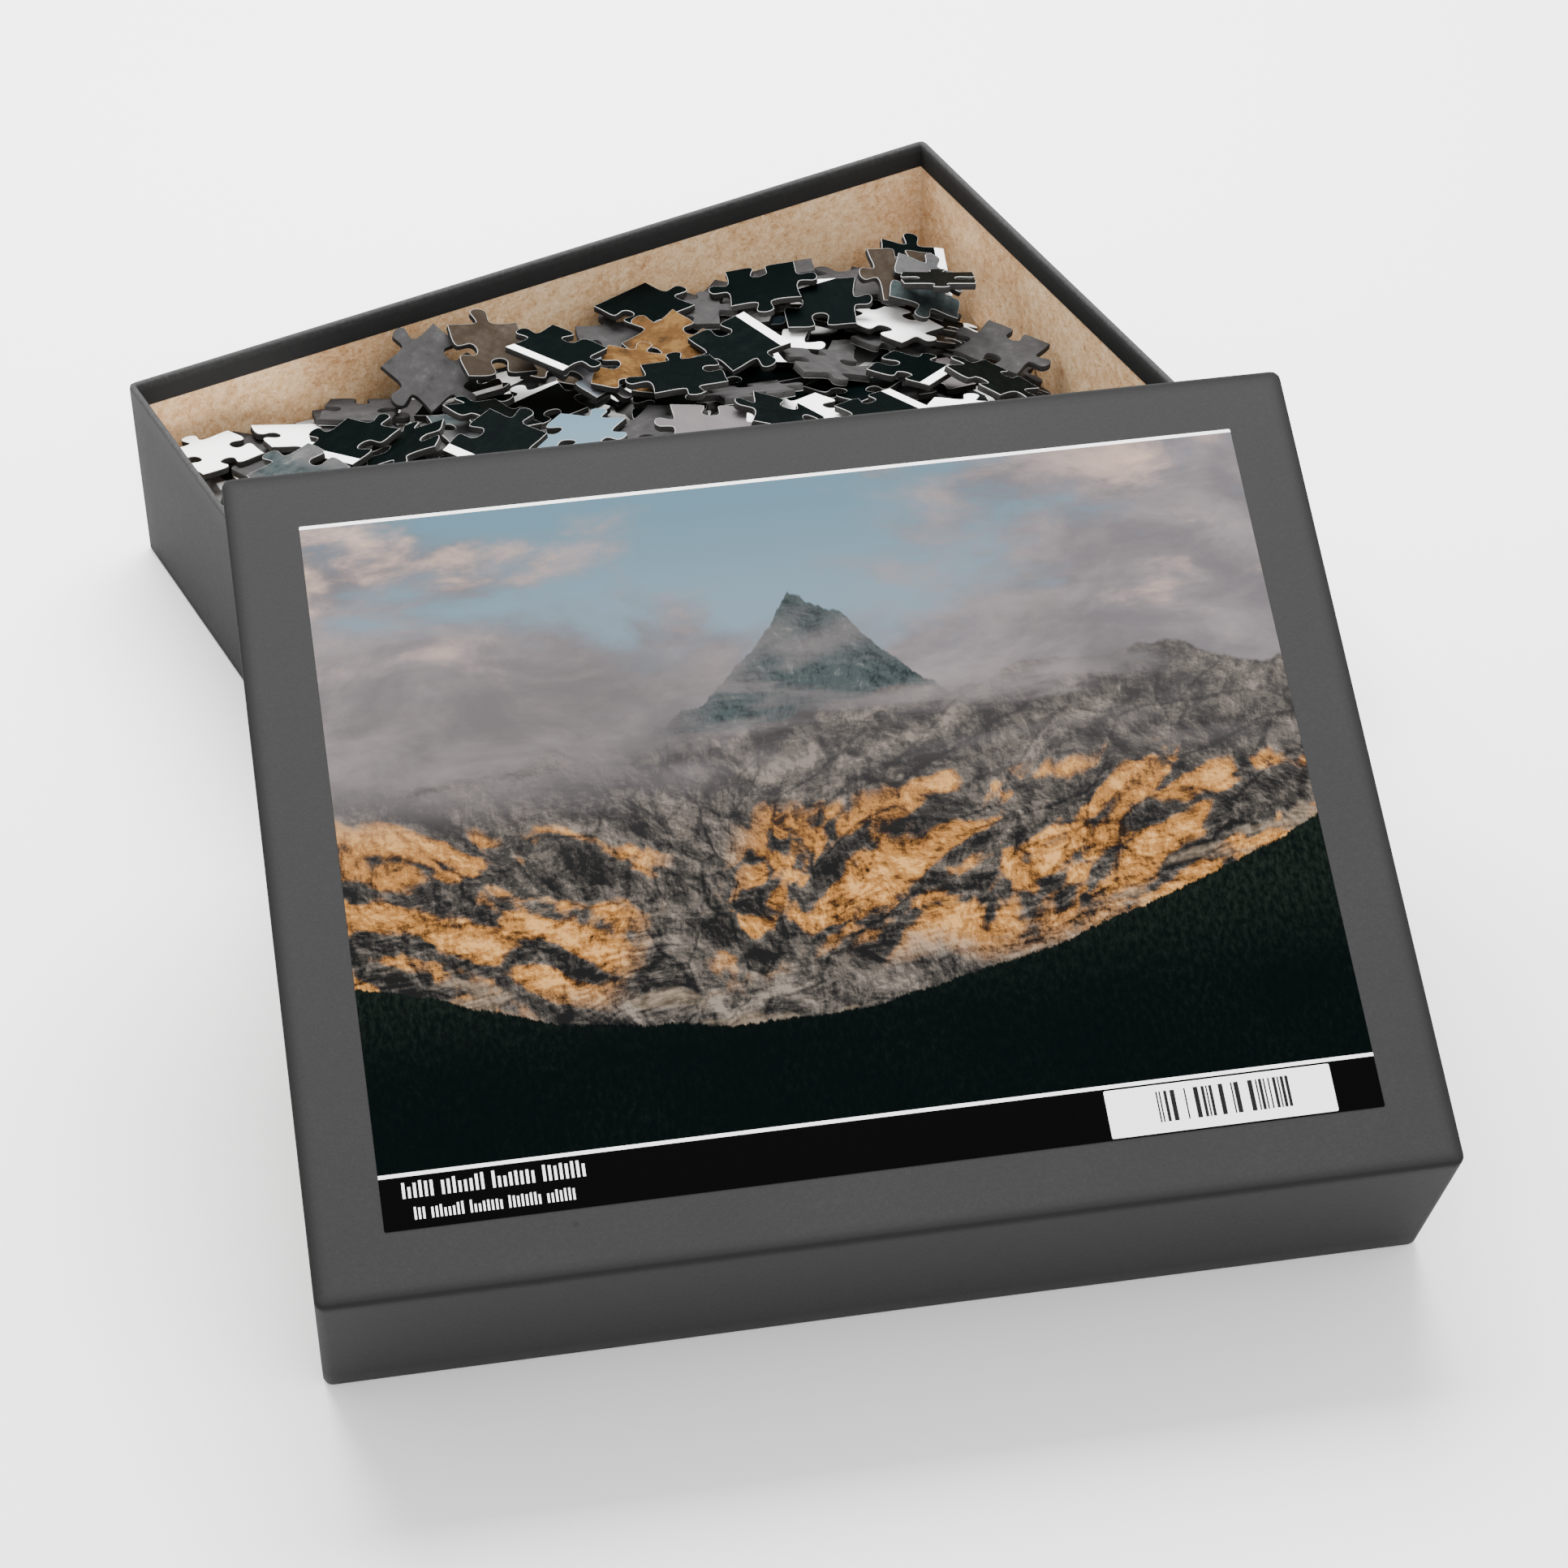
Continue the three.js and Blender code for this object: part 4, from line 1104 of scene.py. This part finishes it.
def heap_objects(placed, groups=8):
    rng = np.random.default_rng(77)
    names, shares = zip(*LOOK_SHARES)
    buckets = [[] for _ in range(groups)]
    for item in placed:
        k = min(int((item[2][0] + INNER[0] / 2) / INNER[0] * groups), groups - 1)
        buckets[k].append(item)
    for k, items in enumerate(buckets):
        verts, faces, mats, uvs, rims, dusks, count = [], [], [], [], [], [], 0
        for shape, sides, at, turn, a, b, base in items:
            look = names[rng.choice(len(names), p=np.array(shares) / sum(shares))]
            print_up = look != "back"
            v, f, m, r = piece_parts(shape, print_up)
            look = "forest" if look == "back" else look
            if "S" in sides and look == "forest":
                u0 = 0.2 + rng.random() * 0.8
                uv = np.c_[u0 + v[:, 1] / PRINT_SIZE, (PITCH / 2 - v[:, 0] - MARGIN) / PRINT_SIZE]
            else:
                uv = print_uv(v[:, :2], look, rng)
            n = np.array((-a, -b, 1.0))
            n /= np.linalg.norm(n)
            c, s = math.cos(turn), math.sin(turn)
            flat = v[:, :2] @ np.array([[c, s], [-s, c]])
            z = base + a * flat[:, 0] + b * flat[:, 1]
            p = np.c_[flat + at, z] + v[:, 2:3] * n
            verts.append(p)
            faces += [tuple(i + count for i in face) for face in f]
            mats += m
            uvs.append(uv)
            rims.append(r)
            dusks.append(np.full(len(v), DUSK.get(look, 0.0)))
            count += len(v)
        o = new_object(f"heap_of_pieces_{k + 1}", np.vstack(verts), faces, ["print", "back", "edge"], mats,
                       {"print": np.vstack(uvs)},
                       {"rim": np.concatenate(rims), "dusk": np.concatenate(dusks)})
        sharpen(o, 40)
        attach(o, "tray")
        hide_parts("loose_piece_heap")


def heap_bed(level_drop):
    """The unseen middle of the heap: a lumpy body that only stops the eye between pieces."""
    nx, ny = 44, 36
    m = 0.6
    xs = np.linspace(-INNER[0] / 2 + m, INNER[0] / 2 - m, nx)
    ys = np.linspace(-INNER[1] / 2 + m, INNER[1] / 2 - m, ny)
    gx, gy = np.meshgrid(xs, ys, indexing="ij")
    rng = np.random.default_rng(5)
    z = np.maximum(heap_top(gx, gy) - level_drop + rng.random(gx.shape) * 0.8 - 0.8, 4.0)
    v = [(x, y, h) for x, y, h in zip(gx.ravel(), gy.ravel(), z.ravel())]
    v += [(x, y, 3.0) for x, y in zip(gx.ravel(), gy.ravel())]
    faces = []
    for k, flip in ((0, 1), (nx * ny, -1)):
        for i in range(nx - 1):
            for j in range(ny - 1):
                q = (k + i * ny + j, k + (i + 1) * ny + j, k + (i + 1) * ny + j + 1, k + i * ny + j + 1)
                faces.append(q[::flip])
    border = [i * ny for i in range(nx)] + [(nx - 1) * ny + j for j in range(1, ny)]
    border += [i * ny + ny - 1 for i in range(nx - 2, -1, -1)] + [j for j in range(ny - 2, 0, -1)]
    for p, q in zip(border, border[1:] + border[:1]):
        faces.append((q, p, p + nx * ny, q + nx * ny))
    o = new_object("heap_of_pieces_core", v, faces, ["depth"], smooth=False)
    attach(o, "tray")
    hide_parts("loose_piece_heap")


heap_objects(lay_heap(11, 5000, BED_DEPTH))
heap_bed(CORE_DEPTH)


# ---- floor, lights, camera
def stage():
    def floor_look(g):
        n = g.noise(g.object_coords(), 3.0, 3, 0.5)
        return {"Base Color": g.mix(n, grey(248), grey(252))}
    mesh = bpy.data.meshes.new("floor")
    s = 6.0
    mesh.from_pydata([(-s, -s, 0), (s, -s, 0), (s, s, 0), (-s, s, 0)], [], [(0, 1, 2, 3)])
    floor = bpy.data.objects.new("floor", mesh)
    mesh.materials.append(material("floor_paper", floor_look, roughness=0.9, specular=0.1))
    bpy.context.scene.collection.objects.link(floor)

    def soft_light(name, at, to, size, power):
        data = bpy.data.lights.new(name, "AREA")
        data.shape, data.size, data.size_y, data.energy = "RECTANGLE", size[0], size[1], power
        lamp = bpy.data.objects.new(name, data)
        lamp.location = at
        lamp.rotation_euler = (Vector(to) - Vector(at)).to_track_quat("-Z", "Y").to_euler()
        bpy.context.scene.collection.objects.link(lamp)

    soft_light("key_softbox", (0.1, 0.34, 0.8), (-0.03, -0.02, 0.1), (0.9, 0.6), 33)
    soft_light("front_softbox", (0.15, -1.35, 1.5), (0, 0.1, 0.05), (1.3, 1.1), 22)
    world = bpy.data.worlds.new("studio")
    bpy.context.scene.world = world
    world.use_nodes = True
    back = next(n for n in world.node_tree.nodes if n.type == "BACKGROUND")
    back.inputs[0].default_value = (1, 1, 1, 1)
    back.inputs[1].default_value = 1.25


stage()
make_camera()
